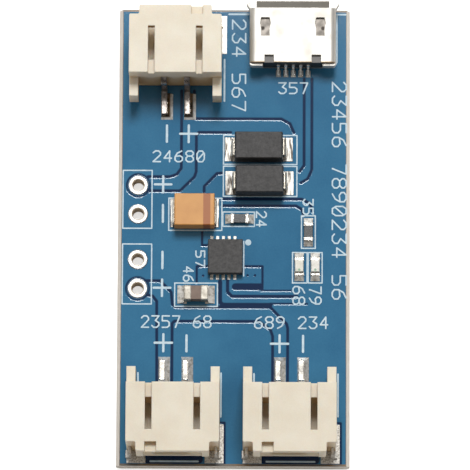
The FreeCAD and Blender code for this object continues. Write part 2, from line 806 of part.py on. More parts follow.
def moulded_body(name, length, width, height, level, draft):
    """Moulded block with draft above and below the line where the leads come out."""
    half_l, half_w = length / 2, width / 2
    bottom = d.land_thickness + d.body_standoff
    seam_low, seam_high = (-half_l, -half_w), (half_l, half_w)
    end_low, end_high = (-half_l + draft, -half_w + draft), (half_l - draft, half_w - draft)
    upper = frustum(name + "_upper", (*seam_low, level), (*seam_high, height), end_low, end_high)
    lower = frustum(name + "_lower", (*end_low, bottom), (*end_high, level), seam_low, seam_high)
    solid = fuse(name + "_solid", upper, lower)
    doc.recompute()
    rounded = doc.addObject("Part::Fillet", name + "_rounded")
    rounded.Base = solid
    radius = d.mould_round.value
    top_edges = [i for i, edge in enumerate(solid.Shape.Edges, start=1) if lies_at(edge, z=height)]
    rounded.Edges = [(i, radius, radius) for i in top_edges]
    return rounded


def folded_lead(name, sign, length, width, sheet, reach, level, foot):
    """Sheet lead: out of the body's end at the seam, down, and folded in under the body."""
    body = new_body(name + "_body")
    end, seat = length / 2, d.land_thickness
    tip = end + reach
    inner_top = level + sheet / 2
    path = [(end, inner_top), (tip, inner_top), (tip, seat), (tip - foot, seat), (tip - foot, seat + sheet),
            (tip - sheet, seat + sheet), (tip - sheet, inner_top - sheet), (end, inner_top - sheet)]
    path = [(sign * as_size(across), up) for across, up in path]
    pad(body, outline(body, name + "_path", "XZ_Plane", path), width, both=True)
    bends = [(sign * tip, inner_top), (sign * tip, seat)]
    dress(body, "Fillet", name + "_bends", (sheet + reach) / 2,
          lambda edge: any(lies_at(edge, x=x, z=z) for x, z in bends))
    return body


def moulded_part(name, x, y, size, lead, ends):
    """A moulded part with two folded leads and the solder in front of them."""
    floor = d.board_thickness
    length, width, height, level, draft = size
    lead_width, sheet, reach, foot, land_ahead, land_width = lead
    leads, joints = [], []
    for end_name, sign in zip(ends, (-1, 1)):
        piece = folded_lead(f"{name}_{end_name}", sign, length, lead_width, sheet, reach, level, foot)
        place(piece, x, y, floor)
        keep(piece, f"{name}_{end_name}")
        leads.append(piece)
        tip = length / 2 + reach
        middle = sign * (tip + land_ahead / 2 - foot / 2)
        half = (foot + land_ahead) / 2
        base = block(f"{name}_{end_name}_land", (middle - half, -land_width / 2, 0),
                     (middle + half, land_width / 2, d.land_thickness))
        joints.append(base)
    body = moulded_body(name, length, width, height, level, draft)
    recess_half = lead_width / 2 + d.fit_clearance
    tools = []
    for end_name, sign in zip(ends, (-1, 1)):
        tip = length / 2 + reach
        outer, inner = sign * tip, sign * (tip - foot - d.fit_clearance)
        low, high = (inner, outer) if sign > 0 else (outer, inner)
        tools.append(block(f"{name}_{end_name}_recess", (low, -recess_half, 0),
                           (high, recess_half, d.land_thickness + sheet + d.fit_clearance)))
    body = cut(name + "_cut", body, fuse(name + "_recesses", *tools))
    place(body, x, y, floor)
    keep(body, name + "_body")
    solder = group(name + "_lands", *joints)
    place(solder, x, y, floor)
    keep(solder, name + "_solder")


def diodes():
    reach = d.diode_lead_sheet + d.diode_bend_room
    lead = (d.diode_lead_width, d.diode_lead_sheet, reach, d.diode_foot_length,
            d.diode_land_ahead, d.diode_land_width)
    size = (d.diode_length, d.diode_width, d.diode_height, d.diode_lead_level, d.diode_draft)
    rows = [
        ("upper_diode", d.upper_diode_x, d.upper_diode_y),
        ("lower_diode", d.lower_diode_x, d.lower_diode_y),
    ]
    for name, x, y in rows:
        moulded_part(name, x, y, size, lead, ("left_lead", "right_lead"))


def tantalum_capacitor():
    reach = d.tantalum_lead_sheet + d.tantalum_bend_room
    lead = (d.tantalum_lead_width, d.tantalum_lead_sheet, reach, d.tantalum_foot_length,
            d.tantalum_land_ahead, d.tantalum_land_width)
    size = (d.tantalum_length, d.tantalum_width, d.tantalum_height, d.tantalum_lead_level,
            d.tantalum_draft)
    moulded_part("tantalum_capacitor", d.tantalum_x, d.tantalum_y, size, lead,
                 ("left_terminal", "right_terminal"))


def capped_chip(name, length, width, height, cap_length):
    """Ceramic chip along X with metal caps over its two ends; gives the core and the caps."""
    seat, wall = d.land_thickness, d.cap_wall
    half_l, half_w = length / 2, width / 2
    core_low = (wall - half_l, wall - half_w, seat + wall)
    core_high = (half_l - wall, half_w - wall, seat + height - wall)
    caps = []
    for side, sign in (("left", -1), ("right", 1)):
        outer, inner = sign * half_l, sign * (half_l - cap_length)
        low, high = (outer, inner) if sign < 0 else (inner, outer)
        cap = block(f"{name}_{side}_cap", (low, -half_w, seat), (high, half_w, seat + height))
        caps.append(cut(f"{name}_{side}_cup", cap, block(f"{name}_{side}_fill", core_low, core_high)))
    return block(name + "_ceramic", core_low, core_high), group(name + "_caps_group", *caps)


def chip_lands(name, length, width, ahead):
    """Two lands with solder drawn up at the ends of a chip part."""
    joints = []
    half = width / 2
    for side, sign in (("left", -1), ("right", 1)):
        end = length / 2
        flat_in, flat_out = sign * (end - d.chip_land_under), sign * (end + ahead)
        low, high = (flat_out, flat_in) if sign < 0 else (flat_in, flat_out)
        land = block(f"{name}_{side}_land", (low, -half, 0), (high, half, d.land_thickness))
        near, far = sign * end, sign * (end + ahead)
        low, high = (far, near) if sign < 0 else (near, far)
        ridge = sign * (end + d.fit_clearance)
        ridge_low, ridge_high = (ridge, near) if sign < 0 else (near, ridge)
        crest = half - d.chip_solder_taper
        slope = frustum(f"{name}_{side}_slope", (low, -half, d.land_thickness),
                        (high, half, d.land_thickness + d.chip_solder_height),
                        (ridge_low, -crest), (ridge_high, crest))
        joints.append(fuse(f"{name}_{side}_solder", land, slope))
    return group(name + "_solder_group", *joints)


def chip_parts():
    """Two resistors and a capacitor, alike in build."""
    resistor = (d.resistor_length, d.resistor_width, d.resistor_height, d.resistor_cap_length)
    capacitor = (d.capacitor_length, d.capacitor_width, d.capacitor_height, d.capacitor_cap_length)
    small_land = (d.chip_land_width, d.chip_land_ahead)
    large_land = (d.capacitor_land_width, d.capacitor_land_ahead)
    rows = [
        ("upper_resistor", d.upper_resistor_x, d.upper_resistor_y, 0, resistor, small_land),
        ("right_resistor", d.right_resistor_x, d.right_resistor_y, -90, resistor, small_land),
        ("chip_capacitor", d.capacitor_x, d.capacitor_y, 0, capacitor, large_land),
    ]
    for name, x, y, turn, (length, width, height, cap_length), land in rows:
        core, caps = capped_chip(name, length, width, height, cap_length)
        solder = chip_lands(name, length, *land)
        for piece, title in ((core, "core"), (caps, "caps"), (solder, "solder")):
            holder = group(f"{name}_{title}_holder", piece) if title == "core" else piece
            place(holder, x, y, d.board_thickness, turn)
            keep(holder, f"{name}_{title}")


def charger_chip():
    """Leadless chip: five leads along the front and rear edges and a heat pad underneath."""
    half, seat = d.chip_side / 2, d.land_thickness
    top_of_lead = seat + d.chip_lead_sheet
    body = doc.addObject("Part::Chamfer", "chip_bevelled")
    blank = block("chip_blank", (-half, -half, seat + d.body_standoff), (half, half, seat + d.chip_height))
    doc.recompute()
    top = seat + d.chip_height
    body.Base = blank
    bevel = d.chip_bevel.value
    top_edges = [i for i, edge in enumerate(blank.Shape.Edges, start=1) if lies_at(edge, z=top)]
    body.Edges = [(i, bevel, bevel) for i in top_edges]
    leads, lands = [], []
    for row, sign in (("front", -1), ("rear", 1)):
        for index in range(CHIP_LEADS_PER_SIDE):
            x = (index - (CHIP_LEADS_PER_SIDE - 1) / 2) * d.chip_lead_pitch
            reach = d.chip_lead_width / 2
            inner, outer = sign * (half - d.chip_lead_length), sign * half
            low, high = (outer, inner) if sign < 0 else (inner, outer)
            leads.append(block(f"chip_{row}_lead_{index + 1}", (x - reach, low, seat),
                               (x + reach, high, top_of_lead)))
            far = sign * (half + d.chip_land_reach)
            low, high = (far, inner) if sign < 0 else (inner, far)
            land_x = x + d.chip_land_shift
            lands.append(block(f"chip_{row}_land_{index + 1}", (land_x - reach, low, 0),
                               (land_x + reach, high, seat)))
    pad_low = (-d.chip_pad_width / 2, -d.chip_pad_depth / 2)
    pad_high = (d.chip_pad_width / 2, d.chip_pad_depth / 2)
    lands.append(block("chip_pad_land", (*pad_low, 0), (*pad_high, seat)))
    heat_pad = group("chip_heat_pad", block("chip_pad_plate", (*pad_low, seat), (*pad_high, top_of_lead)))
    leads = group("chip_leads_group", *leads)
    metal = fuse("chip_metal", *leads.Links, heat_pad.Links[0])
    rows = [
        (cut("chip_cut", body, metal), "charger_chip_body"),
        (leads, "charger_chip_leads"),
        (heat_pad, "charger_chip_heat_pad"),
        (group("chip_lands", *lands), "charger_chip_solder"),
    ]
    for piece, name in rows:
        place(piece, d.chip_x, d.chip_y, d.board_thickness)
        keep(piece, name)


def lamps():
    """Indicator lamps: a small base board with end caps and a cast lens on top."""
    for name, x in (("left_lamp", d.left_lamp_x), ("right_lamp", d.right_lamp_x)):
        core, caps = capped_chip(name, d.lamp_length, d.lamp_width, d.lamp_base_height, d.lamp_cap_length)
        seat, draft = d.land_thickness + d.lamp_base_height, d.lamp_lens_draft
        half_l, half_w = d.lamp_lens_length / 2, d.lamp_width / 2 - d.cap_wall
        lens_top = seat + d.lamp_lens_height
        lens = frustum(name + "_dome", (-half_l, -half_w, seat), (half_l, half_w, lens_top),
                       (draft - half_l, draft - half_w), (half_l - draft, half_w - draft))
        solder = chip_lands(name, d.lamp_length, d.chip_land_width, d.chip_land_ahead)
        pieces = [(group(name + "_base_group", core), "base"), (caps, "terminals"),
                  (group(name + "_lens_group", lens), "lens"), (solder, "solder")]
        for piece, title in pieces:
            place(piece, x, d.lamp_y, d.board_thickness, -90)
            keep(piece, f"{name}_{title}")


circuit_board()
eyelets()
sockets()
power_port()
diodes()
tantalum_capacitor()
chip_parts()
charger_chip()
lamps()
doc.recompute()

for thing in doc.Objects:
    if {"Invalid", "Error"} & set(thing.State):
        raise ValueError(f"{thing.Name} failed: {thing.State}")
for thing in parts:
    if thing.Shape.isNull() or not thing.Shape.isValid():
        raise ValueError(f"{thing.Label} has no sound shape")

os.makedirs("parts", exist_ok=True)
for thing in parts:
    thing.Shape.exportStep(f"parts/{thing.Label}.step")
    print(f"{thing.Label}: {len(thing.Shape.Solids)} solids, {thing.Shape.Volume:.3f} mm3")
print(f"{len(parts)} sub-parts")
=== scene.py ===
# %% [markdown]
# A battery charging module: a blue board the size of a thumb, with three cream sockets, a folded metal
# port and a few dark and bright components. Its solid pieces come from the CAD model, which is loaded
# as a fixed frame. This lesson gives each of them its finish, and adds what is too thin or too free in
# form for the solids: the relief of the solder mask and the printed marks.

import math

import bmesh
import bpy
import numpy as np
from mathutils import Matrix, Vector


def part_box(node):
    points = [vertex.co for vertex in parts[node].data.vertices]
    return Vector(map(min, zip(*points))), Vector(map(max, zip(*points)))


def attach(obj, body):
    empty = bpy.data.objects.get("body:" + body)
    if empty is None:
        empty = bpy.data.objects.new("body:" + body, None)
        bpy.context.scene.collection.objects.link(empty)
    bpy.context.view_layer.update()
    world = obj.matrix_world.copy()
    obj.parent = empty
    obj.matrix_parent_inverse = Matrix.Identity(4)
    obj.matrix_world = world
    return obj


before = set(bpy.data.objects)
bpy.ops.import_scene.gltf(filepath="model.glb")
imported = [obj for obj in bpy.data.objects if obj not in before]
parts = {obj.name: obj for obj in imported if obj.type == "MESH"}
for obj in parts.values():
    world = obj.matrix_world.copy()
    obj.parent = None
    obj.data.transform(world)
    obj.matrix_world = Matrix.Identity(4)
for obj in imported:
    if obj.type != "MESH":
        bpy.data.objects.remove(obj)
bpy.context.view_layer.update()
MM = 0.001
print(f"{len(parts)} pieces in the frame")

# %% [markdown]
# The frame has its origin under the middle of the board. The heights and centres that the rest of the
# lesson needs are read from it, so that every added piece sits where its solid does.

# %% Measure the frame
board_low, board_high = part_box("circuit_board")
BOARD_TOP = board_high.z
BOARD_LENGTH = board_high.y - board_low.y
HOLES = ["panel_plus_eyelet", "panel_minus_eyelet", "battery_minus_eyelet", "battery_plus_eyelet"]


def middle_of(node):
    low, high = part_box(node)
    return (low + high) / 2


hole_places = [middle_of(name) for name in HOLES]
print(f"board top at {BOARD_TOP / MM:.2f} mm, length {BOARD_LENGTH / MM:.1f} mm")

# %% [markdown]
# The photograph was taken from nearly overhead with a long lens, a little from the front. The camera
# stands on the same line: a tilt away from straight down, a small turn about the vertical, and a roll.

# %% Camera
LOOK_AT = Vector((0.102 * MM, 0.11 * MM, BOARD_TOP))
CAMERA_DISTANCE = 450.36 * MM
CAMERA_TILT = math.radians(10.785)
CAMERA_TURN = math.radians(1.57)
CAMERA_ROLL = math.radians(0.279)
LENS_LENGTH = 397.36


def add_camera():
    back = Vector((math.sin(CAMERA_TURN) * math.sin(CAMERA_TILT),
                   -math.cos(CAMERA_TURN) * math.sin(CAMERA_TILT), math.cos(CAMERA_TILT)))
    right = Vector((0, 1, 0)).cross(back).normalized()
    up = back.cross(right)
    level_right = right * math.cos(CAMERA_ROLL) + up * math.sin(CAMERA_ROLL)
    level_up = up * math.cos(CAMERA_ROLL) - right * math.sin(CAMERA_ROLL)
    camera = bpy.data.objects.new("camera", bpy.data.cameras.new("camera"))
    camera.data.lens = LENS_LENGTH
    camera.data.clip_start = 10 * MM
    camera.data.clip_end = 3.0
    turn = Matrix((level_right, level_up, back)).transposed().to_4x4()
    camera.matrix_world = Matrix.Translation(LOOK_AT + back * CAMERA_DISTANCE) @ turn
    bpy.context.scene.collection.objects.link(camera)
    bpy.context.scene.camera = camera
    return camera


camera = add_camera()
print(f"camera {camera.location.length / MM:.0f} mm from the origin")

# %% [markdown]
# Product photographs of this kind are lit by large soft lamps over a white table. One big soft lamp
# stands behind the far end, so that shadows fall towards the viewer. Screens stand all round. As lamps
# they are brightest at the sides. As a mirror shows them they are brightest behind and nearly black in
# front and on the right, which gives bright metal its contrast. The table stays white to the camera and
# still takes the soft shadow of the module.

# %% Lamps and surroundings
FILL_LEVEL = 0.62
FILL_SCREENS = (0.48, 0.17, 0.3, 0.0)
MIRROR_SCREENS = (0.5, 0.5, -0.22, -0.2)
DARKEST = 0.05
FILL_COLOUR = (1.0, 0.94, 0.87, 1.0)
KEY_PLACE = Vector((15 * MM, 208 * MM, 450 * MM))
KEY_SIZE = 140 * MM
KEY_POWER = 1.72
TABLE_SIZE = 3.0
TABLE_GAP = 0.08 * MM


def chain(nodes, links, operation, *values):
    """One math node; each value is a number or a socket. Gives its result."""
    node = nodes.new("ShaderNodeMath")
    node.operation = operation
    for socket, value in zip(node.inputs, values):
        if isinstance(value, (int, float)):
            socket.default_value = value
        else:
            links.new(value, socket)
    return node.outputs[0]


def axes_of(nodes, links, coordinate):
    """X, Y and Z of a texture coordinate, such as Object or Normal."""
    axes = nodes.new("ShaderNodeSeparateXYZ")
    links.new(nodes.new("ShaderNodeTexCoord").outputs[coordinate], axes.inputs["Vector"])
    return axes.outputs


def screen_level(nodes, links, screens):
    """How bright the screens are: overhead, and what is added behind, at both sides and on the right."""
    overhead, behind, beside, right = screens
    axes = axes_of(nodes, links, "Generated")
    sideways = chain(nodes, links, "ABSOLUTE", axes["X"])
    level = chain(nodes, links, "MULTIPLY_ADD", axes["Y"], behind, overhead)
    level = chain(nodes, links, "MULTIPLY_ADD", sideways, beside, level)
    level = chain(nodes, links, "MULTIPLY_ADD", axes["X"], right, level)
    return chain(nodes, links, "MAXIMUM", level, DARKEST)


def white_surroundings(tree):
    """White where they are seen directly, screens in a mirror, and dimmer and warmer as a lamp."""
    nodes, links = tree.nodes, tree.links
    ways = nodes.new("ShaderNodeLightPath")
    seen = chain(nodes, links, "MAXIMUM", ways.outputs["Is Camera Ray"], ways.outputs["Is Transmission Ray"])
    fill = nodes["Background"]
    mirrored = nodes.new("ShaderNodeBackground")
    white = nodes.new("ShaderNodeBackground")
    fill.inputs["Color"].default_value = FILL_COLOUR
    white.inputs["Color"].default_value = (1, 1, 1, 1)
    dimmed = chain(nodes, links, "MULTIPLY", screen_level(nodes, links, FILL_SCREENS), FILL_LEVEL)
    links.new(dimmed, fill.inputs["Strength"])
    links.new(screen_level(nodes, links, MIRROR_SCREENS), mirrored.inputs["Strength"])
    shade = fill.outputs[0]
    for choice, other in ((ways.outputs["Is Glossy Ray"], mirrored), (seen, white)):
        mix = nodes.new("ShaderNodeMixShader")
        links.new(choice, mix.inputs["Fac"])
        links.new(shade, mix.inputs[1])
        links.new(other.outputs[0], mix.inputs[2])
        shade = mix.outputs[0]
    links.new(shade, nodes["World Output"].inputs["Surface"])


def add_lamp(name, place, size, power, target=(0, 0, 0)):
    lamp = bpy.data.objects.new(name, bpy.data.lights.new(name, "AREA"))
    lamp.data.size = size
    lamp.data.energy = power
    lamp.location = place
    lamp.rotation_euler = (Vector(place) - Vector(target)).to_track_quat("Z", "Y").to_euler()
    bpy.context.scene.collection.objects.link(lamp)
    return lamp


world = bpy.data.worlds.new("surroundings")
world.use_nodes = True
bpy.context.scene.world = world
white_surroundings(world.node_tree)
add_lamp("soft_lamp", KEY_PLACE, KEY_SIZE, KEY_POWER)
bpy.context.scene.view_settings.view_transform = "Standard"
print("one soft lamp, screens all round")

# %% [markdown]
# Colours are written as they look on a screen, in hexadecimal, and turned into Blender's linear values.
# Each material starts from the same few steps, so one helper makes it and hands back its parts.


# %% Helpers for colours and materials
def paint(code):
    """A screen colour such as #2f6a8a as linear values with full alpha."""
    channels = [int(code[i:i + 2], 16) / 255 for i in (1, 3, 5)]
    return tuple(c / 12.92 if c <= 0.04045 else ((c + 0.055) / 1.055) ** 2.4 for c in channels) + (1.0,)


def new_finish(name):
    material = bpy.data.materials.new(name)
    material.use_nodes = True
    tree = material.node_tree
    return material, tree.nodes, tree.links, tree.nodes["Principled BSDF"]


def new_effect(name, inputs, outputs):
    """A shader node group: inputs and outputs map a socket's name to its kind or its first value."""
    effect = bpy.data.node_groups.new(name, "ShaderNodeTree")
    for title, value in inputs.items():
        kind = "NodeSocketColor" if isinstance(value, tuple) else "NodeSocketFloat"
        socket = effect.interface.new_socket(title, in_out="INPUT", socket_type=kind)
        socket.default_value = value
    for title, kind in outputs.items():
        effect.interface.new_socket(title, in_out="OUTPUT", socket_type=kind)
    start = effect.nodes.new("NodeGroupInput")
    end = effect.nodes.new("NodeGroupOutput")
    return effect, start, end


def use_effect(nodes, effect, **values):
    """Places a group in a material and sets its inputs; a space in a name is written as one underscore."""
    node = nodes.new("ShaderNodeGroup")
    node.node_tree = effect
    for title, value in values.items():
        node.inputs[title.replace("_", " ")].default_value = value
    return node


def dress(names, material):
    """Gives CAD pieces their finish."""
    for name in names:
        slots = parts[name].data.materials
        slots.clear()
        slots.append(material)


def show_skin(links, skin, shader):
    """Takes a skin's colour and roughness into the shader."""
    links.new(skin.outputs["Colour"], shader.inputs["Base Color"])
    links.new(skin.outputs["Roughness"], shader.inputs["Roughness"])


def place_mesh(name, mesh):
    """An object for a mesh, in the scene."""
    piece = bpy.data.objects.new(name, mesh)
    bpy.context.scene.collection.objects.link(piece)
    return piece


def close_mesh(name, form):
    """Turns a form that was built face by face into a mesh."""
    mesh = bpy.data.meshes.new(name)
    form.to_mesh(mesh)
    form.free()
    return mesh


print("a middle grey in linear values:", [round(c, 3) for c in paint("#808080")])

# %% [markdown]
# Moulded plastic is never one flat colour: the skin has a fine grain from the mould, and soft broad
# patches where the melt flowed. Both are noise, read in millimetres of the piece itself, so the grain
# keeps its size on every part. The group gives a colour, a roughness and a height for a bump.

# %% Moulded skin
GRAIN_SHARE = 0.4


def millimetres(nodes, links, size):
    """Object coordinates scaled so that one unit is `size`, a socket in millimetres."""
    spread = nodes.new("ShaderNodeVectorMath")
    spread.operation = "SCALE"
    links.new(nodes.new("ShaderNodeTexCoord").outputs["Object"], spread.inputs[0])
    links.new(chain(nodes, links, "DIVIDE", 1 / MM, size), spread.inputs["Scale"])
    return spread.outputs["Vector"]


def stretched_place(nodes, links, reach):
    """Object coordinates in which one unit is `reach` millimetres along X, Y and Z."""
    scale = nodes.new("ShaderNodeMapping")
    scale.inputs["Scale"].default_value = [1 / (size * MM) for size in reach]
    links.new(nodes.new("ShaderNodeTexCoord").outputs["Object"], scale.inputs["Vector"])
    return scale.outputs["Vector"]


def noise(nodes, links, vector, detail=3.0):
    texture = nodes.new("ShaderNodeTexNoise")
    texture.inputs["Scale"].default_value = 1.0
    texture.inputs["Detail"].default_value = detail
    links.new(vector, texture.inputs["Vector"])
    return texture.outputs["Fac"]


def blend_colours(nodes, links, factor, first, second):
    mix = nodes.new("ShaderNodeMix")
    mix.data_type = "RGBA"
    links.new(factor, mix.inputs["Factor"])
    for socket, colour in ((mix.inputs["A"], first), (mix.inputs["B"], second)):
        if isinstance(colour, tuple):
            socket.default_value = colour
        else:
            links.new(colour, socket)
    return mix.outputs["Result"]


def spread_value(nodes, links, value, low, high, out_low, out_high):
    """Maps a value from one range to another, each end a number or a socket."""
    spread = nodes.new("ShaderNodeMapRange")
    links.new(value, spread.inputs["Value"])
    ends = {"From Min": low, "From Max": high, "To Min": out_low, "To Max": out_high}
    for title, end in ends.items():
        if isinstance(end, (int, float)):
            spread.inputs[title].default_value = end
        else:
            links.new(end, spread.inputs[title])
    return spread.outputs["Result"]


def make_moulded_skin():
    effect, start, end = new_effect(
        "Moulded skin",
        {"Colour": (0.8, 0.8, 0.8, 1.0), "Flow Colour": (0.7, 0.7, 0.7, 1.0), "Grain Size": 0.08,
         "Patch Size": 1.6, "Roughness": 0.5, "Roughness Spread": 0.1},
        {"Colour": "NodeSocketColor", "Roughness": "NodeSocketFloat", "Height": "NodeSocketFloat"})
    nodes, links = effect.nodes, effect.links
    grain = noise(nodes, links, millimetres(nodes, links, start.outputs["Grain Size"]))
    patches = noise(nodes, links, millimetres(nodes, links, start.outputs["Patch Size"]))
    both = chain(nodes, links, "MULTIPLY_ADD", grain, GRAIN_SHARE, patches)
    share = spread_value(nodes, links, both, 0.5, 0.95, 0.0, 1.0)
    colour = blend_colours(nodes, links, share, start.outputs["Colour"], start.outputs["Flow Colour"])
    top = chain(nodes, links, "ADD", start.outputs["Roughness"], start.outputs["Roughness Spread"])
    rough = spread_value(nodes, links, grain, 0.3, 0.7, start.outputs["Roughness"], top)
    links.new(colour, end.inputs["Colour"])
    links.new(rough, end.inputs["Roughness"])
    links.new(grain, end.inputs["Height"])
    return effect


moulded_skin = make_moulded_skin()
print("group:", moulded_skin.name, [item.name for item in moulded_skin.interface.items_tree])

# %% [markdown]
# A piece out of a mould or a press has no razor edges. The Bevel node rounds the shading near every
# edge, which catches the light as the real radius does and leaves the solid's mesh as it is. The bump
# of the grain is laid over it.


# %% Soft edges and bump
def soft_surface(nodes, links, shader, height, depth, edge, strength=1.0):
    """Feeds the shader's Normal from a height in millimetres over edges rounded by `edge`."""
    rounding = nodes.new("ShaderNodeBevel")
    rounding.samples = 6
    rounding.inputs["Radius"].default_value = edge * MM
    bump = nodes.new("ShaderNodeBump")
    bump.inputs["Strength"].default_value = strength
    bump.inputs["Distance"].default_value = depth * MM
    links.new(height, bump.inputs["Height"])
    links.new(rounding.outputs["Normal"], bump.inputs["Normal"])
    links.new(bump.outputs["Normal"], shader.inputs["Normal"])


def moulded(name, colour, flow, roughness, grain=0.08, patches=1.6, depth=0.004, edge=0.06, spread=0.1):
    material, nodes, links, shader = new_finish(name)
    skin = use_effect(nodes, moulded_skin, Colour=paint(colour), Flow_Colour=paint(flow), Grain_Size=grain,
                      Patch_Size=patches, Roughness=roughness, Roughness_Spread=spread)
    show_skin(links, skin, shader)
    soft_surface(nodes, links, shader, skin.outputs["Height"], depth, edge)
    return material


def let_light_in(material, share, reach, size):
    """Light that enters a milky plastic and comes out warmer a little way off; `size` in millimetres."""
    shader = material.node_tree.nodes["Principled BSDF"]
    shader.inputs["Subsurface Weight"].default_value = share
    shader.inputs["Subsurface Radius"].default_value = reach
    shader.inputs["Subsurface Scale"].default_value = size * MM


def upward(nodes, links):
    """How far the plain surface looks up or down: 1 on flat faces, 0 on walls."""
    return chain(nodes, links, "ABSOLUTE", axes_of(nodes, links, "Normal")["Z"])


def tint_by(material, share, tint):
    """Mixes a tint into a finish by a share made in the same material."""
    nodes, links = material.node_tree.nodes, material.node_tree.links
    shader = nodes["Principled BSDF"]
    own = shader.inputs["Base Color"].links[0].from_socket
    links.new(blend_colours(nodes, links, share, own, paint(tint)), shader.inputs["Base Color"])


def painted_shade_walls(material, tint, reach):
    """Painted shade: walls of milky plastic take a warmer, darker tint where others stand close, out to
    `reach` millimetres.
    """
    nodes, links = material.node_tree.nodes, material.node_tree.links
    openness = nodes.new("ShaderNodeAmbientOcclusion")
    openness.samples = 8
    openness.inputs["Distance"].default_value = reach * MM
    level_or_open = chain(nodes, links, "MAXIMUM", openness.outputs["AO"], upward(nodes, links))
    tint_by(material, spread_value(nodes, links, level_or_open, 0.45, 0.92, 1.0, 0.0), tint)


def pale_top(material, tint):
    """The faces that look up or down take a paler tint: partly dust, partly painted light from above."""
    nodes, links = material.node_tree.nodes, material.node_tree.links
    tint_by(material, spread_value(nodes, links, upward(nodes, links), 0.8, 0.95, 0.0, 1.0), tint)


cream = moulded("cream_moulding", "#e5decd", "#dcd2be", 0.42, grain=0.12, patches=2.5, edge=0.09)
let_light_in(cream, 0.3, (1.0, 0.72, 0.46), 0.7)
# Painted shade: the cream walls take a warmer, darker tint where other parts stand close.
painted_shade_walls(cream, "#cdab79", 4.0)
black_epoxy = moulded("black_epoxy", "#434242", "#2b2a2a", 0.55, grain=0.13, patches=0.35, depth=0.006)
black_insert = moulded("black_insert", "#3a3733", "#2b2926", 0.45)
dress([name for name in parts if name.endswith("_housing")], cream)
dress(["upper_diode_body", "lower_diode_body", "charger_chip_body"], black_epoxy)
dress(["power_port_insert"], black_insert)
# Painted light: the insert's flat faces are tinted paler, as if lit from above.
pale_top(black_insert, "#6f6c69")
print("moulded finishes:", cream.name, black_epoxy.name, black_insert.name)

# %% [markdown]
# The tantalum capacitor is moulded in ochre compound. A darker stripe printed across its plus end
# tells which way round it goes. The stripe is a band in the piece's own millimetres, mixed into the
# colour with a slightly soft edge.

# %% Tantalum capacitor
tantalum_low, tantalum_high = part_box("tantalum_capacitor_body")
STRIPE_FROM_END = 0.68 * MM
STRIPE_WIDTH = 0.62 * MM
STRIPE_EDGE = 0.03 * MM


def tantalum_finish():
    material, nodes, links, shader = new_finish("tantalum_moulding")
    skin = use_effect(nodes, moulded_skin, Colour=paint("#d2984f"), Flow_Colour=paint("#c78b45"),
                      Grain_Size=0.07, Patch_Size=1.2, Roughness=0.38, Roughness_Spread=0.12)
    stripe_middle = tantalum_high.x - STRIPE_FROM_END
    along = chain(nodes, links, "SUBTRACT", axes_of(nodes, links, "Object")["X"], stripe_middle)
    away = chain(nodes, links, "ABSOLUTE", along)
    half = STRIPE_WIDTH / 2
    band = spread_value(nodes, links, away, half - STRIPE_EDGE, half + STRIPE_EDGE, 1.0, 0.0)
    colour = blend_colours(nodes, links, band, skin.outputs["Colour"], paint("#a15c24"))
    links.new(colour, shader.inputs["Base Color"])
    links.new(skin.outputs["Roughness"], shader.inputs["Roughness"])
    soft_surface(nodes, links, shader, skin.outputs["Height"], 0.003, 0.06)
    return material


dress(["tantalum_capacitor_body"], tantalum_finish())
print(f"stripe {STRIPE_WIDTH / MM:.2f} mm wide")

# %% [markdown]
# Wire, tabs, the port's shell and the solder are all tinned or nickel plated metal: bright, never a
# perfect mirror, with duller clouds where flux or fingers touched it. One group serves them all, with
# its own colour, cloud size and roughness each time.

# %% Plated skin
SHEET_METALLIC = 0.6


def make_plated_skin():
    effect, start, end = new_effect(
        "Plated skin",
        {"Colour": (0.8, 0.8, 0.8, 1.0), "Dull Colour": (0.5, 0.5, 0.5, 1.0), "Cloud Size": 0.6,
         "Scratch Size": 0.05, "Roughness": 0.2, "Dull Roughness": 0.45},
        {"Colour": "NodeSocketColor", "Roughness": "NodeSocketFloat", "Height": "NodeSocketFloat"})
    nodes, links = effect.nodes, effect.links
    clouds = noise(nodes, links, millimetres(nodes, links, start.outputs["Cloud Size"]), detail=5.0)
    marks = noise(nodes, links, millimetres(nodes, links, start.outputs["Scratch Size"]))
    share = spread_value(nodes, links, clouds, 0.42, 0.68, 0.0, 1.0)
    colour = blend_colours(nodes, links, share, start.outputs["Colour"], start.outputs["Dull Colour"])
    rough = spread_value(nodes, links, clouds, 0.35, 0.7, start.outputs["Roughness"],
                         start.outputs["Dull Roughness"])
    links.new(colour, end.inputs["Colour"])
    links.new(rough, end.inputs["Roughness"])
    links.new(marks, end.inputs["Height"])
    return effect


plated_skin = make_plated_skin()


def plated(name, colour, dull, roughness, dull_roughness, clouds=0.6, marks=0.05, depth=0.002, edge=0.05,
           metal=1.0):
    material, nodes, links, shader = new_finish(name)
    skin = use_effect(nodes, plated_skin, Colour=paint(colour), Dull_Colour=paint(dull), Cloud_Size=clouds,
                      Scratch_Size=marks, Roughness=roughness, Dull_Roughness=dull_roughness)
    shader.inputs["Metallic"].default_value = metal
    show_skin(links, skin, shader)
    soft_surface(nodes, links, shader, skin.outputs["Height"], depth, edge)
    return material


tinned_wire = plated("tinned_wire", "#e6e1d8", "#b9b2a6", 0.16, 0.34, edge=0.16)
shell_plate = plated("shell_plate", "#cdcac3", "#c3bfb7", 0.46, 0.54, clouds=1.4, metal=SHEET_METALLIC)
tinned_lead = plated("tinned_lead", "#e4ddcf", "#aaa191", 0.26, 0.42, edge=0.12)
hole_plating = plated("hole_plating", "#fbfbfa", "#e9e7e3", 0.34, 0.45, clouds=0.5, edge=0.18)
gilt = plated("gilt_contact", "#fbfaf7", "#d8d5cd", 0.14, 0.28, edge=0.12)
end_cap = plated("end_cap", "#b9b4a9", "#9d978c", 0.5, 0.6, clouds=0.5, edge=0.14)
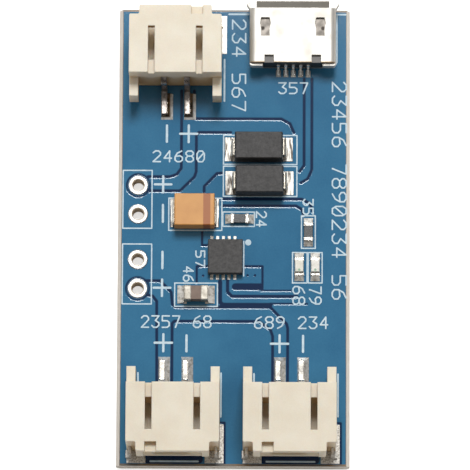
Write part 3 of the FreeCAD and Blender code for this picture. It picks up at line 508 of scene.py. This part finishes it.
# Painted shade: a darker copy of the tinned wire for the panel socket's pins, which stand in the housing's
# shadow.
shaded_wire = plated("shaded_wire", "#a9a19b", "#746b65", 0.26, 0.4, clouds=0.35, edge=0.16)
tab_sheet = plated("tab_sheet", "#e6e2da", "#aaa49a", 0.24, 0.4, clouds=0.5, edge=0.12, metal=SHEET_METALLIC)
smoked_cap = plated("smoked_cap", "#dbd7cf", "#57514a", 0.3, 0.44, clouds=0.15, edge=0.12)
dress([name for name in parts if name.endswith("_pin")], tinned_wire)
dress([name for name in parts if name.endswith("_tab")], tab_sheet)
dress(["panel_socket_plus_pin", "panel_socket_minus_pin"], shaded_wire)
dress([name for name in parts if name.endswith(("_lead", "_terminal"))], tinned_lead)
dress([name for name in parts if name.endswith(("_caps", "_terminals"))], smoked_cap)
dress(["chip_capacitor_caps"], end_cap)
dress(HOLES, hole_plating)
dress(["power_port_shell"], shell_plate)
dress(["power_port_contacts", "charger_chip_leads", "charger_chip_heat_pad"], gilt)
print("materials in use so far:", len([m for m in bpy.data.materials if m.users]))

# %% [markdown]
# Two of these metals differ by place. The wall of a plated hole, and the rim where its flange turns
# down, are tinted tan and duller: painted shade for the shaded inside of the hole. Along the rear edge of
# the shell's roof a golden-brown band is painted shade where the sheet rolls over.

# %% Plating that differs by place, with painted shade
BORE_RADIUS = 0.5
SHADE_START, SHADE_REACH = 0.02, 0.2
ROOF_SHADE_BAND = 0.12


def away_from(nodes, links, place, flatten=True):
    """Distance of the surface to a place, or to the upright line through it."""
    gap, size = nodes.new("ShaderNodeVectorMath"), nodes.new("ShaderNodeVectorMath")
    gap.operation, size.operation = "SUBTRACT", "LENGTH"
    links.new(nodes.new("ShaderNodeTexCoord").outputs["Object"], gap.inputs[0])
    gap.inputs[1].default_value = tuple(place)
    vector = gap.outputs["Vector"]
    if flatten:
        level = nodes.new("ShaderNodeVectorMath")
        level.operation = "MULTIPLY"
        level.inputs[1].default_value = (1, 1, 0)
        links.new(vector, level.inputs[0])
        vector = level.outputs["Vector"]
    links.new(vector, size.inputs[0])
    return size.outputs["Value"]


def shade_holes():
    nodes, links = hole_plating.node_tree.nodes, hole_plating.node_tree.links
    nearest = 1.0
    for place in hole_places:
        nearest = chain(nodes, links, "MINIMUM", nearest, away_from(nodes, links, place))
    start, end = (BORE_RADIUS + SHADE_START) * MM, (BORE_RADIUS + SHADE_REACH) * MM
    bore_shade = spread_value(nodes, links, nearest, start, end, 1.0, 0.0)
    # Painted shade: a tan tint and less metal in the bore and on the flange's inner rim.
    tint_by(hole_plating, bore_shade, "#cdc0ae")
    shader = nodes["Principled BSDF"]
    links.new(spread_value(nodes, links, bore_shade, 0.5, 1.0, 1.0, 0.0), shader.inputs["Metallic"])


def painted_shade_roof_edge():
    nodes, links = shell_plate.node_tree.nodes, shell_plate.node_tree.links
    insert_low, insert_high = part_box("power_port_insert")
    rear = insert_low.y
    axes = axes_of(nodes, links, "Object")
    near = spread_value(nodes, links, axes["Y"], rear, rear + ROOF_SHADE_BAND * MM, 0.9, 0.0)
    high = chain(nodes, links, "GREATER_THAN", axes["Z"], insert_high.z)
    # Painted shade: a golden-brown band where the roof's rear edge rolls over.
    tint_by(shell_plate, chain(nodes, links, "MULTIPLY", near, high), "#a88a5e")


shade_holes()
painted_shade_roof_edge()
print(f"{len(hole_places)} holes shaded")

# %% [markdown]
# Solder has two looks. Where it was drawn up a lead it is a bright lumpy mirror, and where it only
# covers a land it is flat, paler and less metallic, with darker pits. Beside an upright component end
# the land's dark marks are narrow streaks instead: painted reflection of the dark surroundings in the
# curved solder there. The way the surface looks and its height tell them apart.

# %% Solder
STREAK_STRETCH = 6.25
FLAT_FROM, FLAT_TO = 0.985, 0.998
PIN_LANDS = -14 * MM
LAND_METALLIC, LAND_ROUGHNESS = 0.4, 0.48


def land_marks(nodes, links, size, along_lead):
    """Where a land is dark: pits, or narrow streaks beside an upright component end that are painted
    reflection.
    """
    length = size * STREAK_STRETCH if along_lead else size
    marks = noise(nodes, links, stretched_place(nodes, links, (size, length, size)), detail=4.0)
    return spread_value(nodes, links, marks, 0.45, 0.62, 0.0, 1.0)


def solder_finish(name, mound, land, size, climb=0.0, mirror=1.0, front_only=False, along_lead=False):
    """A mound's and a land's pairs of colours. A land keeps its look up to `climb` millimetres above the
    board, `mirror` is how metallic a mound is, and `front_only` keeps lands in front of PIN_LANDS."""
    material, nodes, links, shader = new_finish(name)
    skin = use_effect(nodes, plated_skin, Colour=paint(mound[0]), Dull_Colour=paint(mound[1]), Cloud_Size=0.3,
                      Scratch_Size=0.3, Roughness=0.14, Dull_Roughness=0.28)
    axes = axes_of(nodes, links, "Object")
    flat = spread_value(nodes, links, upward(nodes, links), FLAT_FROM, FLAT_TO, 0.0, 1.0)
    top = BOARD_TOP + climb * MM
    low = spread_value(nodes, links, axes["Z"], top, top + 0.8 * climb * MM, 1.0, 0.0)
    flat = chain(nodes, links, "MAXIMUM", flat, low)
    if front_only:
        in_front = chain(nodes, links, "LESS_THAN", axes["Y"], PIN_LANDS)
        flat = chain(nodes, links, "MULTIPLY", flat, in_front)
    marks = land_marks(nodes, links, size, along_lead)
    ground = blend_colours(nodes, links, marks, paint(land[0]), paint(land[1]))
    links.new(blend_colours(nodes, links, flat, skin.outputs["Colour"], ground), shader.inputs["Base Color"])
    metal = spread_value(nodes, links, flat, 0.0, 1.0, mirror, LAND_METALLIC)
    rough = spread_value(nodes, links, flat, 0.0, 1.0, skin.outputs["Roughness"], LAND_ROUGHNESS)
    links.new(metal, shader.inputs["Metallic"])
    links.new(rough, shader.inputs["Roughness"])
    soft_surface(nodes, links, shader, skin.outputs["Height"], 0.022, 0.05)
    return material


CLEAN, SMOKED, DARK_MOUND = ("#f4f2ec", "#a8a298"), ("#f4f4f2", "#6f6962"), ("#a59c92", "#574c43")
BRIGHT = ("#f4f4f2", "#b4b0a9")
solder = solder_finish("solder", CLEAN, ("#e9e6df", "#a39d93"), 0.42, mirror=0.45)
pale_solder = solder_finish("pale_solder", CLEAN, ("#fbfaf6", "#d6d1c7"), 0.42, mirror=0.45)
# Painted reflection: dark streaks along the lead on the diode and tantalum lands.
streaked_solder = solder_finish("streaked_solder", SMOKED, ("#ebe7de", "#574f47"), 0.17, along_lead=True)
pitted_solder = solder_finish("pitted_solder", BRIGHT, ("#e6e3dc", "#aaa59c"), 0.15, mirror=0.6,
                              front_only=True)
# The panel socket's solder has darker, browner mounds than the rest, and a pale land.
dark_mound_solder = solder_finish("dark_mound_solder", DARK_MOUND, ("#fcfbf9", "#dcd8d0"), 0.4, climb=0.13)
soldered = [name for name in parts if name.endswith("_solder")]
dress(soldered, solder)
dress(["upper_diode_solder", "lower_diode_solder", "tantalum_capacitor_solder"], streaked_solder)
dress(["battery_socket_solder", "output_socket_solder"], pitted_solder)
dress(["chip_capacitor_solder"], pale_solder)
dress(["panel_socket_solder"], dark_mound_solder)
print("solder on", len(soldered), "pieces")

# %% [markdown]
# The chip parts are small bricks of ceramic: the capacitor is bare brown ceramic, and a resistor has a
# black glaze over its film. The two lamps are white laminate with a pale cast lens, and a small green
# dot shows through each lens near its front end.

# %% Chip parts and lamps
brown_ceramic = moulded("capacitor_ceramic", "#7f6c60", "#6f5c51", 0.5, grain=0.04, patches=0.5)
black_glaze = moulded("resistor_glaze", "#26272a", "#1c1d1f", 0.24, grain=0.1, patches=0.4)
white_laminate = moulded("lamp_laminate", "#e6e4dc", "#d6d3c8", 0.45, grain=0.05, patches=0.4)
green_lens = moulded("green_lens", "#e9e8de", "#cfcdbf", 0.16, grain=0.1, patches=0.4, depth=0.004)
clear_lens = moulded("clear_lens", "#ecebe4", "#d2d0c6", 0.16, grain=0.1, patches=0.4, depth=0.004)
dress(["chip_capacitor_core"], brown_ceramic)
dress(["upper_resistor_core", "right_resistor_core"], black_glaze)
dress(["left_lamp_base", "right_lamp_base"], white_laminate)
dress(["left_lamp_lens"], green_lens)
dress(["right_lamp_lens"], clear_lens)
MARK_RADIUS = 0.13
MARK_FROM_END = 0.2


def mark_lens(material, lens):
    """A green dot under the lens, near its front end, that tells the lamp's minus side."""
    low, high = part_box(lens)
    nodes, links = material.node_tree.nodes, material.node_tree.links
    away = away_from(nodes, links, ((low.x + high.x) / 2, low.y + MARK_FROM_END * MM, high.z))
    inside = spread_value(nodes, links, away, 0.6 * MARK_RADIUS * MM, MARK_RADIUS * MM, 0.8, 0.0)
    tint_by(material, inside, "#5f9c78")


mark_lens(green_lens, "left_lamp_lens")
mark_lens(clear_lens, "right_lamp_lens")
print("chip parts dressed")

# %% [markdown]
# The board is glass cloth in resin. Its snapped edges show the pale laminate with the fibres running
# along. Its faces carry the blue mask, which is added later and stops short of the rim. What it leaves
# free of the surface that looks up or down is bare, grey and blotted with brown flux.

# %% Laminate
BLOT_SIZE = 2.2
FIBRE_REACH = (1, 1, 1 / 9)


def laminate_finish():
    material, nodes, links, shader = new_finish("board_laminate")
    is_face = spread_value(nodes, links, upward(nodes, links), 0.90, 0.96, 0.0, 1.0)
    strands = noise(nodes, links, stretched_place(nodes, links, FIBRE_REACH), detail=6.0)
    edge = blend_colours(nodes, links, strands, paint("#f6f2ec"), paint("#cbc5bc"))
    blots = noise(nodes, links, stretched_place(nodes, links, (BLOT_SIZE,) * 3))
    face = blend_colours(nodes, links, spread_value(nodes, links, blots, 0.48, 0.58, 0.0, 1.0),
                         paint("#5f5a53"), paint("#7c6547"))
    colour = blend_colours(nodes, links, is_face, edge, face)
    links.new(colour, shader.inputs["Base Color"])
    rough = spread_value(nodes, links, is_face, 0.0, 1.0, 0.8, 0.35)
    links.new(rough, shader.inputs["Roughness"])
    soft_surface(nodes, links, shader, strands, 0.02, 0.05, strength=0.6)
    return material


dress(["circuit_board"], laminate_finish())
print("laminate dressed")

# %% [markdown]
# Under the mask lie the copper tracks. Where copper is etched away the mask sinks by the copper's
# thickness and looks darker, because it lies on bare laminate. The gaps between the tracks are drawn
# here as lines on the board, in millimetres from its centre, each with its width.

# %% Gaps between the tracks
GAP = 0.25
GAPS = {
    # Round the panel socket and the two diodes
    "panel_plus_left": (GAP, [(-4.6, 12.9), (-4.6, 6.0), (-5.0, 5.45), (-5.6, 5.25), (-7.5, 5.25)]),
    "panel_plus_low": (GAP, [(-7.8, 4.0), (-4.7, 4.0), (-3.45, 5.25), (-3.3, 5.7), (-3.3, 8.95),
                             (-3.1, 9.2), (-0.3, 9.2)]),
    "panel_plus_top": (GAP, [(-3.5, 12.9), (-3.5, 10.6), (-3.3, 10.42), (4.1, 10.42), (4.85, 10.0),
                             (5.2, 9.2)]),
    "port_left": (GAP, [(6.08, 14.0), (6.08, 6.3), (5.7, 5.75)]),
    "port_right": (GAP, [(6.75, 14.0), (6.75, 5.9), (6.4, 5.1), (5.8, 4.75)]),
    "resistor_top": (GAP, [(-1.0, 3.3), (5.9, 3.3), (6.6, 2.9), (6.85, 2.2)]),
    "resistor_low": (GAP, [(-1.0, 2.7), (5.4, 2.7), (5.9, 2.4), (6.05, 1.9)]),
    "diode_left": (GAP, [(-0.95, 5.6), (-1.5, 5.55), (-2.6, 4.4), (-2.6, 3.9)]),
    # From the lower plus hole to the two lower sockets
    "battery_top": (GAP, [(-7.6, -3.95), (-6.35, -3.95), (-5.4, -4.95), (-5.3, -6.0), (-5.05, -6.25),
                          (3.2, -6.25), (4.0, -7.1), (4.6, -7.7), (4.7, -8.1), (4.7, -12.8)]),
    "battery_left": (GAP, [(-7.5, -5.2), (-7.0, -5.3), (-6.65, -5.75), (-6.6, -12.8)]),
    "battery_inner": (GAP, [(-5.3, -12.8), (-5.3, -7.7), (-5.1, -7.5), (2.2, -7.5), (3.2, -8.2),
                            (3.4, -8.8), (3.4, -12.8)]),
    # Clear of the right tab's land on the two lower sockets
    "battery_land": (0.2, [(-0.72, -20.0), (-0.72, -16.38), (-1.2, -16.38)]),
    "output_land": (0.2, [(9.3, -20.0), (9.3, -16.38), (8.8, -16.38)]),
    # Painted shade: a wide dark band between the tab lands at the front edge, under the housings' noses
    "battery_front_shade": (0.8, [(-7.3, -19.55), (-2.95, -19.55)]),
    "output_front_shade": (0.8, [(2.75, -19.55), (7.1, -19.55)]),
    # Round the chip
    "chip_upper": (0.2, [(-2.75, 0.4), (-2.75, -0.8), (-2.3, -0.8)]),
    "chip_left": (0.2, [(-2.3, -2.65), (-3.2, -2.65), (-3.2, -4.1)]),
    "chip_right": (0.2, [(0.9, -2.65), (2.5, -2.65), (2.5, -4.7)]),
    "chip_low": (0.6, [(0.15, -4.45), (2.3, -4.45)]),
    # The two tracks to the lamps
    "lamp_top": (0.14, [(2.4, -4.78), (5.0, -4.78)]),
    "lamp_between": (0.28, [(-0.52, -3.8), (-0.52, -4.9), (-0.15, -5.3), (5.5, -5.3)]),
    "lamp_low": (0.36, [(-1.17, -4.0), (-1.17, -5.8), (-0.95, -6.05), (3.2, -6.05)]),
    "lamp_low_right": (0.16, [(3.2, -5.93), (6.4, -5.93)]),
}
UNDER_GAPS = [
    (GAP, [(-7.2, -4.64), (-3.4, -4.64), (-1.6, -6.4), (-1.6, -12.6), (-2.9, -13.9), (-5.9, -13.9)]),
    (GAP, [(-7.2, 4.48), (-4.2, 4.48), (-1.9, 6.8), (-1.9, 11.2), (-3.3, 12.6)]),
]
RING_GAP = 0.16
RING_RADIUS = 1.0
VIA_RADIUS = 0.12
VIA_STEEPNESS = 3.0
VIAS = [(-2.65, -3.5), (1.2, -3.45), (1.85, -3.45)]
print(f"{len(GAPS)} gaps, {sum(len(line) - 1 for _, line in GAPS.values())} straight runs")

# %% [markdown]
# The relief is a fine sheet laid over the board. Every corner of it stores how far it is from the
# nearest gap: below zero in a gap, above zero on copper. The material turns that distance into the dark
# colour and into a small step in height, so the lines stay crisp though the sheet's mesh is plain.

# %% Mask sheet
SHEET_STEP = 0.1
SHEET_HALF_WIDTH = 9.72
SHEET_HALF_LENGTH = 19.96
SHEET_LIFT = 0.012
HOLE_OPENING = 0.68
FAR_AWAY = 9.0


def distance_to_line(points, line):
    """Distance of every point to a line of straight runs, in the units of the points."""
    nearest = np.full(len(points), FAR_AWAY)
    for start, end in zip(line[:-1], line[1:]):
        start, end = np.array(start), np.array(end)
        run = end - start
        along = np.clip((points - start) @ run / max(run @ run, 1e-9), 0, 1)
        nearest = np.minimum(nearest, np.linalg.norm(points - start - along[:, None] * run, axis=1))
    return nearest


def distance_to_gaps(points, gaps, rings):
    nearest = np.full(len(points), FAR_AWAY)
    for width, line in gaps:
        nearest = np.minimum(nearest, distance_to_line(points, line) - width / 2)
    for centre in rings:
        ring = np.abs(np.linalg.norm(points - np.array(centre), axis=1) - RING_RADIUS)
        nearest = np.minimum(nearest, ring - RING_GAP / 2)
    for centre in VIAS:
        beyond = np.linalg.norm(points - np.array(centre), axis=1) - VIA_RADIUS
        nearest = np.minimum(nearest, VIA_STEEPNESS * beyond)
    return nearest


def mask_sheet(name, level, gaps, rings, facing_up=True):
    """A grid over the board with the distance to the gaps on every corner, open round the holes."""
    columns = int(2 * SHEET_HALF_WIDTH / SHEET_STEP) + 1
    rows = int(2 * SHEET_HALF_LENGTH / SHEET_STEP) + 1
    across = np.linspace(-SHEET_HALF_WIDTH, SHEET_HALF_WIDTH, columns)
    along = np.linspace(-SHEET_HALF_LENGTH, SHEET_HALF_LENGTH, rows)
    grid = np.array([(x, y) for y in along for x in across])
    distance = distance_to_gaps(grid, gaps, rings)
    holes = [np.array((place.x / MM, place.y / MM)) for place in hole_places]
    near_hole = np.min([np.linalg.norm(grid - hole, axis=1) for hole in holes], axis=0)
    corners = [(x * MM, y * MM, level) for x, y in grid]
    faces = []
    for row in range(rows - 1):
        for column in range(columns - 1):
            first = row * columns + column
            face = (first, first + 1, first + columns + 1, first + columns)
            if near_hole[list(face)].min() > HOLE_OPENING:
                faces.append(face if facing_up else face[::-1])
    mesh = bpy.data.meshes.new(name)
    mesh.from_pydata(corners, [], faces)
    mesh.attributes.new("gap_distance", "FLOAT", "POINT").data.foreach_set("value", distance)
    mesh.shade_smooth()
    return place_mesh(name, mesh)


plus_rings = [(place.x / MM, place.y / MM) for place in (hole_places[0], hole_places[3])]
mask_top = mask_sheet("mask_top", BOARD_TOP + SHEET_LIFT * MM, list(GAPS.values()), plus_rings)
hole_rings = [(place.x / MM, place.y / MM) for place in hole_places]
mask_under = mask_sheet("mask_under", board_low.z - SHEET_LIFT * MM, UNDER_GAPS, hole_rings, facing_up=False)
print(f"mask sheets: {len(mask_top.data.polygons)} and {len(mask_under.data.polygons)} faces")

# %% [markdown]
# The mask is a glossy blue lacquer. Over copper it looks lighter, over bare laminate nearly navy. The
# distance on the sheet is widened into a soft step: it mixes the two blues, and as a height it makes
# the rims of the tracks catch the light.

# %% Mask finish
RIM = 0.04
SLOPE_START, SLOPE_END = 0.0, 0.07
COPPER_THICKNESS = 0.0062
WEAVE_DEPTH = 0.003


def mask_finish(name, copper_blue, copper_dark, bare_blue):
    material, nodes, links, shader = new_finish(name)
    skin = use_effect(nodes, moulded_skin, Colour=paint(copper_blue), Flow_Colour=paint(copper_dark),
                      Grain_Size=0.16, Patch_Size=4.0, Roughness=0.3, Roughness_Spread=0.12)
    distance = nodes.new("ShaderNodeAttribute")
    distance.attribute_name = "gap_distance"
    on_copper = spread_value(nodes, links, distance.outputs["Fac"], -RIM, RIM, 0.0, 1.0)
    colour = blend_colours(nodes, links, on_copper, paint(bare_blue), skin.outputs["Colour"])
    links.new(colour, shader.inputs["Base Color"])
    links.new(skin.outputs["Roughness"], shader.inputs["Roughness"])
    shader.inputs["Specular IOR Level"].default_value = 0.0
    shader.inputs["Coat Weight"].default_value = 0.6
    shader.inputs["Coat Roughness"].default_value = 0.08
    slope = spread_value(nodes, links, distance.outputs["Fac"], SLOPE_START, SLOPE_END, 0.0, 1.0)
    step = nodes.new("ShaderNodeBump")
    step.inputs["Distance"].default_value = COPPER_THICKNESS * MM
    links.new(slope, step.inputs["Height"])
    weave = nodes.new("ShaderNodeBump")
    weave.inputs["Distance"].default_value = WEAVE_DEPTH * MM
    links.new(skin.outputs["Height"], weave.inputs["Height"])
    links.new(step.outputs["Normal"], weave.inputs["Normal"])
    links.new(weave.outputs["Normal"], shader.inputs["Normal"])
    links.new(weave.outputs["Normal"], shader.inputs["Coat Normal"])
    return material


solder_mask = mask_finish("solder_mask", "#3a769b", "#2f698f", "#132a4c")
for sheet in (mask_top, mask_under):
    sheet.data.materials.append(solder_mask)
    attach(sheet, "root")
print("mask laid over both faces of the board")

# %% [markdown]
# White marks are screen printed on the mask: boxes round the components, plus and minus signs, and a
# dot by the chip's first lead. Each is a flat stroke with round ends, laid just over the mask. Places
# that carry words on such boards get plain numbers instead.

# %% Printed strokes
INK_LEVEL = BOARD_TOP + 0.016 * MM
INK_RISE = 0.0001 * MM
THIN, MEDIUM, BOLD, DOT = 0.11, 0.15, 0.2, 0.54
ROUND_STEPS = 6


def box_line(left, right, low, high):
    return [(left, low), (right, low), (right, high), (left, high), (left, low)]


def plus_sign(x, y, arm):
    return [[(x - arm, y), (x + arm, y)], [(x, y - arm), (x, y + arm)]]


PRINT = [
    # Boxes round the two pairs of holes, with their signs
    (THIN, box_line(-9.65, -7.13, 0.67, 5.8)), (THIN, box_line(-9.65, -7.12, -6.0, -0.72)),
    *[(BOLD, line) for line in plus_sign(-6.17, 4.57, 0.72) + plus_sign(-6.2, -4.57, 0.72)],
    (BOLD, [(-6.17, 2.75), (-6.17, 1.25)]), (BOLD, [(-6.18, -1.4), (-6.18, -2.85)]),
    # Signs by the sockets
    *[(BOLD, line) for line in plus_sign(-3.97, 9.07, 0.75) + plus_sign(-6.05, -9.4, 0.75)
      + plus_sign(4.0, -9.45, 0.75)],
    (BOLD, [(-5.87, 9.8), (-5.87, 8.35)]), (BOLD, [(-4.05, -8.75), (-4.05, -10.15)]),
    (BOLD, [(6.03, -8.75), (6.03, -10.15)]),
    # Lines round the sockets and the port
    (MEDIUM, [(-0.88, 15.7), (-0.88, 12.0)]), (MEDIUM, [(8.92, 19.8), (8.92, 15.5), (8.8, 15.3)]),
    (MEDIUM, [(-0.5, 19.77), (1.2, 19.77)]), (MEDIUM, [(8.85, 19.77), (9.7, 19.77)]),
    (MEDIUM, [(-8.22, -12.05), (-8.22, -12.9)]), (MEDIUM, [(-1.05, -12.05), (-1.05, -15.85)]),
    (MEDIUM, [(1.8, -12.1), (1.8, -12.9)]), (MEDIUM, [(9.05, -12.1), (9.05, -15.8)]),
    (MEDIUM, [(-7.1, -19.75), (-3.0, -19.75)]), (MEDIUM, [(2.9, -19.75), (7.05, -19.75)]),
    # Boxes round the diodes, the capacitors, the resistors and the lamps
    (THIN, box_line(-0.93, 5.46, 6.37, 8.95)), (THIN, box_line(-0.93, 5.46, 3.53, 6.2)),
    (THIN, box_line(-5.66, -1.05, 0.5, 3.35)), (THIN, box_line(-0.96, 1.78, 0.87, 2.14)),
    (THIN, box_line(5.87, 7.07, -1.05, 1.83)), (THIN, box_line(-5.1, -1.4, -6.2, -4.15)),
    (THIN, box_line(5.1, 6.36, -4.1, -1.42)), (THIN, box_line(6.47, 7.67, -4.1, -1.42)),
    # The line at the chip's right side
    (THIN, [(0.87, -0.45), (0.87, -3.5)]),
    # The dot by its first lead
    (DOT, [(1.25, -0.55), (1.25, -0.55)]),
]


def add_capsule(mesh, start, end, width, level):
    """A straight run of ink with round ends; a run of no length gives a dot."""
    start, end = Vector((*start, 0)) * MM, Vector((*end, 0)) * MM
    heading = math.atan2(end.y - start.y, end.x - start.x)
    rim = []
    for centre, first in ((end, -math.pi / 2), (start, math.pi / 2)):
        for step in range(ROUND_STEPS + 1):
            angle = heading + first + math.pi * step / ROUND_STEPS
            reach = Vector((math.cos(angle), math.sin(angle), 0)) * width / 2 * MM
            rim.append(mesh.verts.new(centre + reach + Vector((0, 0, level))))
    mesh.faces.new(rim)


def ink_mesh(name, strokes):
    """All the runs of the strokes, each a hair above the last so that crossings don't flicker."""
    mesh = bmesh.new()
    level = INK_LEVEL
    for width, line in strokes:
        for start, end in zip(line[:-1], line[1:]):
            add_capsule(mesh, start, end, width, level)
            level += INK_RISE
    piece = place_mesh(name, close_mesh(name, mesh))
    piece.data.materials.append(white_ink)
    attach(piece, "root")
    return piece


def ink_finish():
    material, nodes, links, shader = new_finish("white_ink")
    skin = use_effect(nodes, moulded_skin, Colour=paint("#ccdfe9"), Flow_Colour=paint("#aec8d8"),
                      Grain_Size=0.09, Patch_Size=0.5, Roughness=0.5, Roughness_Spread=0.1)
    show_skin(links, skin, shader)
    return material


white_ink = ink_finish()
marks = ink_mesh("printed_marks", PRINT)
print(f"{len(PRINT)} strokes printed as {len(marks.data.polygons)} runs")

# %% [markdown]
# Every figure is a few strokes of one width, as a pen would draw it. The digits are drawn here on a
# grid two wide and four high, and each number is set in its place by its middle, its length along the
# line, its height and its turn.

# %% Printed numbers
PEN = 0.13
DIGITS = {
    "0": [[(0, 1), (0.5, 0), (1.5, 0), (2, 1), (2, 3), (1.5, 4), (0.5, 4), (0, 3), (0, 1)],
          [(0.2, 0.8), (1.8, 3.2)]],
    "1": [[(0.3, 3.2), (1, 4), (1, 0)], [(0.3, 0), (1.7, 0)]],
    "2": [[(0, 3.3), (0.6, 4), (1.5, 4), (2, 3.3), (2, 2.6), (0, 0), (2, 0)]],
    "3": [[(0, 4), (2, 4), (1, 2.4), (2, 1.6), (2, 0.7), (1.4, 0), (0.5, 0), (0, 0.6)]],
    "4": [[(1.5, 0), (1.5, 4), (0, 1.3), (2, 1.3)]],
    "5": [[(2, 4), (0, 4), (0, 2.3), (1.4, 2.3), (2, 1.7), (2, 0.6), (1.4, 0), (0, 0)]],
    "6": [[(1.8, 4), (0.6, 3.2), (0, 1.8), (0, 0.6), (0.6, 0), (1.4, 0), (2, 0.6), (2, 1.6), (1.4, 2.2),
           (0.1, 2.0)]],
    "7": [[(0, 4), (2, 4), (0.8, 0)]],
    "8": [[(0.5, 2.1), (0, 2.8), (0, 3.4), (0.5, 4), (1.5, 4), (2, 3.4), (2, 2.8), (1.5, 2.1), (0.5, 2.1),
           (0, 1.4), (0, 0.6), (0.5, 0), (1.5, 0), (2, 0.6), (2, 1.4), (1.5, 2.1)]],
    "9": [[(0.3, 0), (1.4, 0.8), (2, 2.2), (2, 3.4), (1.4, 4), (0.6, 4), (0, 3.4), (0, 2.6), (0.6, 2.0),
           (1.9, 2.2)]],
    " ": [],
}
DIGIT_WIDTH, DIGIT_HEIGHT, DIGIT_PITCH = 2, 4, 3
NUMBERS = [
    ("24680", (-4.83, 7.06), 4.45, 0.95, 0), ("357", (5.12, 13.17), 2.5, 0.95, 0),
    ("234 567", (0.38, 15.2), 8.1, 1.15, -90), ("23456 7890234 56", (9.15, 4.1), 19.2, 1.2, -90),
    ("24", (2.38, 1.53), 1.3, 0.85, -90), ("35", (6.45, 2.62), 1.3, 0.85, -90),
    ("46", (-3.92, -3.35), 1.25, 0.85, -90), ("57", (-2.9, -2.0), 1.35, 0.75, -90),
    ("68", (5.65, -5.2), 1.55, 1.0, -90), ("79", (7.08, -5.2), 1.5, 1.0, -90),
    ("2357 68", (-4.95, -7.55), 6.0, 1.0, 0), ("689 234", (5.0, -7.6), 6.3, 1.0, 0),
]


def number_strokes(text, centre, length, height, turn):
    """The pen's lines for a number, in millimetres on the board."""
    width = (len(text) - 1) * DIGIT_PITCH + DIGIT_WIDTH
    angle = math.radians(turn)
    strokes = []
    for index, digit in enumerate(text):
        for line in DIGITS[digit]:
            placed = []
            for across, up in line:
                x = ((index * DIGIT_PITCH + across) / width - 0.5) * length
                y = (up / DIGIT_HEIGHT - 0.5) * height
                placed.append((centre[0] + x * math.cos(angle) - y * math.sin(angle),
                               centre[1] + x * math.sin(angle) + y * math.cos(angle)))
            strokes.append((PEN, placed))
    return strokes


lines = [stroke for number in NUMBERS for stroke in number_strokes(*number)]
numbers = ink_mesh("printed_numbers", lines)
print(f"{len(NUMBERS)} numbers, {len(lines)} pen lines, {len(numbers.data.polygons)} runs")

# %% [markdown]
# Through the two windows in the port's roof the springs are seen that hold a plug. They are thin dull
# leaves at the roof's underside. Towards the outer side of each, a painted dark spot is the shade seen
# into a small hole.

# %% Springs under the roof
LEAF_LENGTH, LEAF_WIDTH = 1.95, 1.05
LEAF_FRONT = 1.62
LEAF_OFFSET = 2.39
LEAF_LIFT = 0.012
SPOT_ASIDE, SPOT_BACK, SPOT_RADIUS = 0.24, 1.05, 0.24


def leaf_finish(centres):
    material = plated("spring_leaf", "#8d8780", "#7a756f", 0.5, 0.62, clouds=0.5)
    nodes, links = material.node_tree.nodes, material.node_tree.links
    nearest = 1.0
    for centre in centres:
        nearest = chain(nodes, links, "MINIMUM", nearest, away_from(nodes, links, centre))
    radius = SPOT_RADIUS * MM
    # Painted shade: a dark spot on each leaf for the shadow inside a hole.
    tint_by(material, spread_value(nodes, links, nearest, 0.5 * radius, radius, 0.9, 0.0), "#2b2623")
    return material


def add_leaves():
    low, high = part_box("power_port_shell")
    middle = (low.x + high.x) / 2
    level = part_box("power_port_insert")[1].z + LEAF_LIFT * MM
    front = high.y - LEAF_FRONT * MM
    mesh, holes = bmesh.new(), []
    for side in (-1, 1):
        x = middle + side * LEAF_OFFSET * MM
        half, rear = LEAF_WIDTH / 2 * MM, front - LEAF_LENGTH * MM
        corners = ((x - half, rear), (x + half, rear), (x + half, front), (x - half, front))
        mesh.faces.new([mesh.verts.new((*corner, level)) for corner in corners])
        holes.append(Vector((x + side * SPOT_ASIDE * MM, front - SPOT_BACK * MM, level)))
    leaves = place_mesh("roof_springs", close_mesh("roof_springs", mesh))
    leaves.data.materials.append(leaf_finish(holes))
    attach(leaves, "root")
    return leaves


leaves = add_leaves()
print(f"springs under the roof: {len(leaves.data.polygons)}")

# %% [markdown]
# The table is a wide pale sheet just under the board. To the camera it is lifted to white by a little
# light of its own, and it still darkens where the module shades it.

# %% Table
TABLE_LIFT = 0.62


def add_table():
    mesh = bpy.data.meshes.new("table")
    half = TABLE_SIZE / 2
    level = board_low.z - TABLE_GAP
    mesh.from_pydata([(-half, -half, level), (half, -half, level), (half, half, level), (-half, half, level)],
                     [], [(0, 1, 2, 3)])
    material, nodes, links, shader = new_finish("table_white")
    shader.inputs["Base Color"].default_value = (0.9, 0.9, 0.9, 1)
    shader.inputs["Roughness"].default_value = 0.9
    shader.inputs["Emission Color"].default_value = (1, 1, 1, 1)
    ways = nodes.new("ShaderNodeLightPath")
    lift = spread_value(nodes, links, ways.outputs["Is Camera Ray"], 0.0, 1.0, 0.0, TABLE_LIFT)
    links.new(lift, shader.inputs["Emission Strength"])
    mesh.materials.append(material)
    return place_mesh("table", mesh)


table = add_table()
print("table laid")

# %% Finish
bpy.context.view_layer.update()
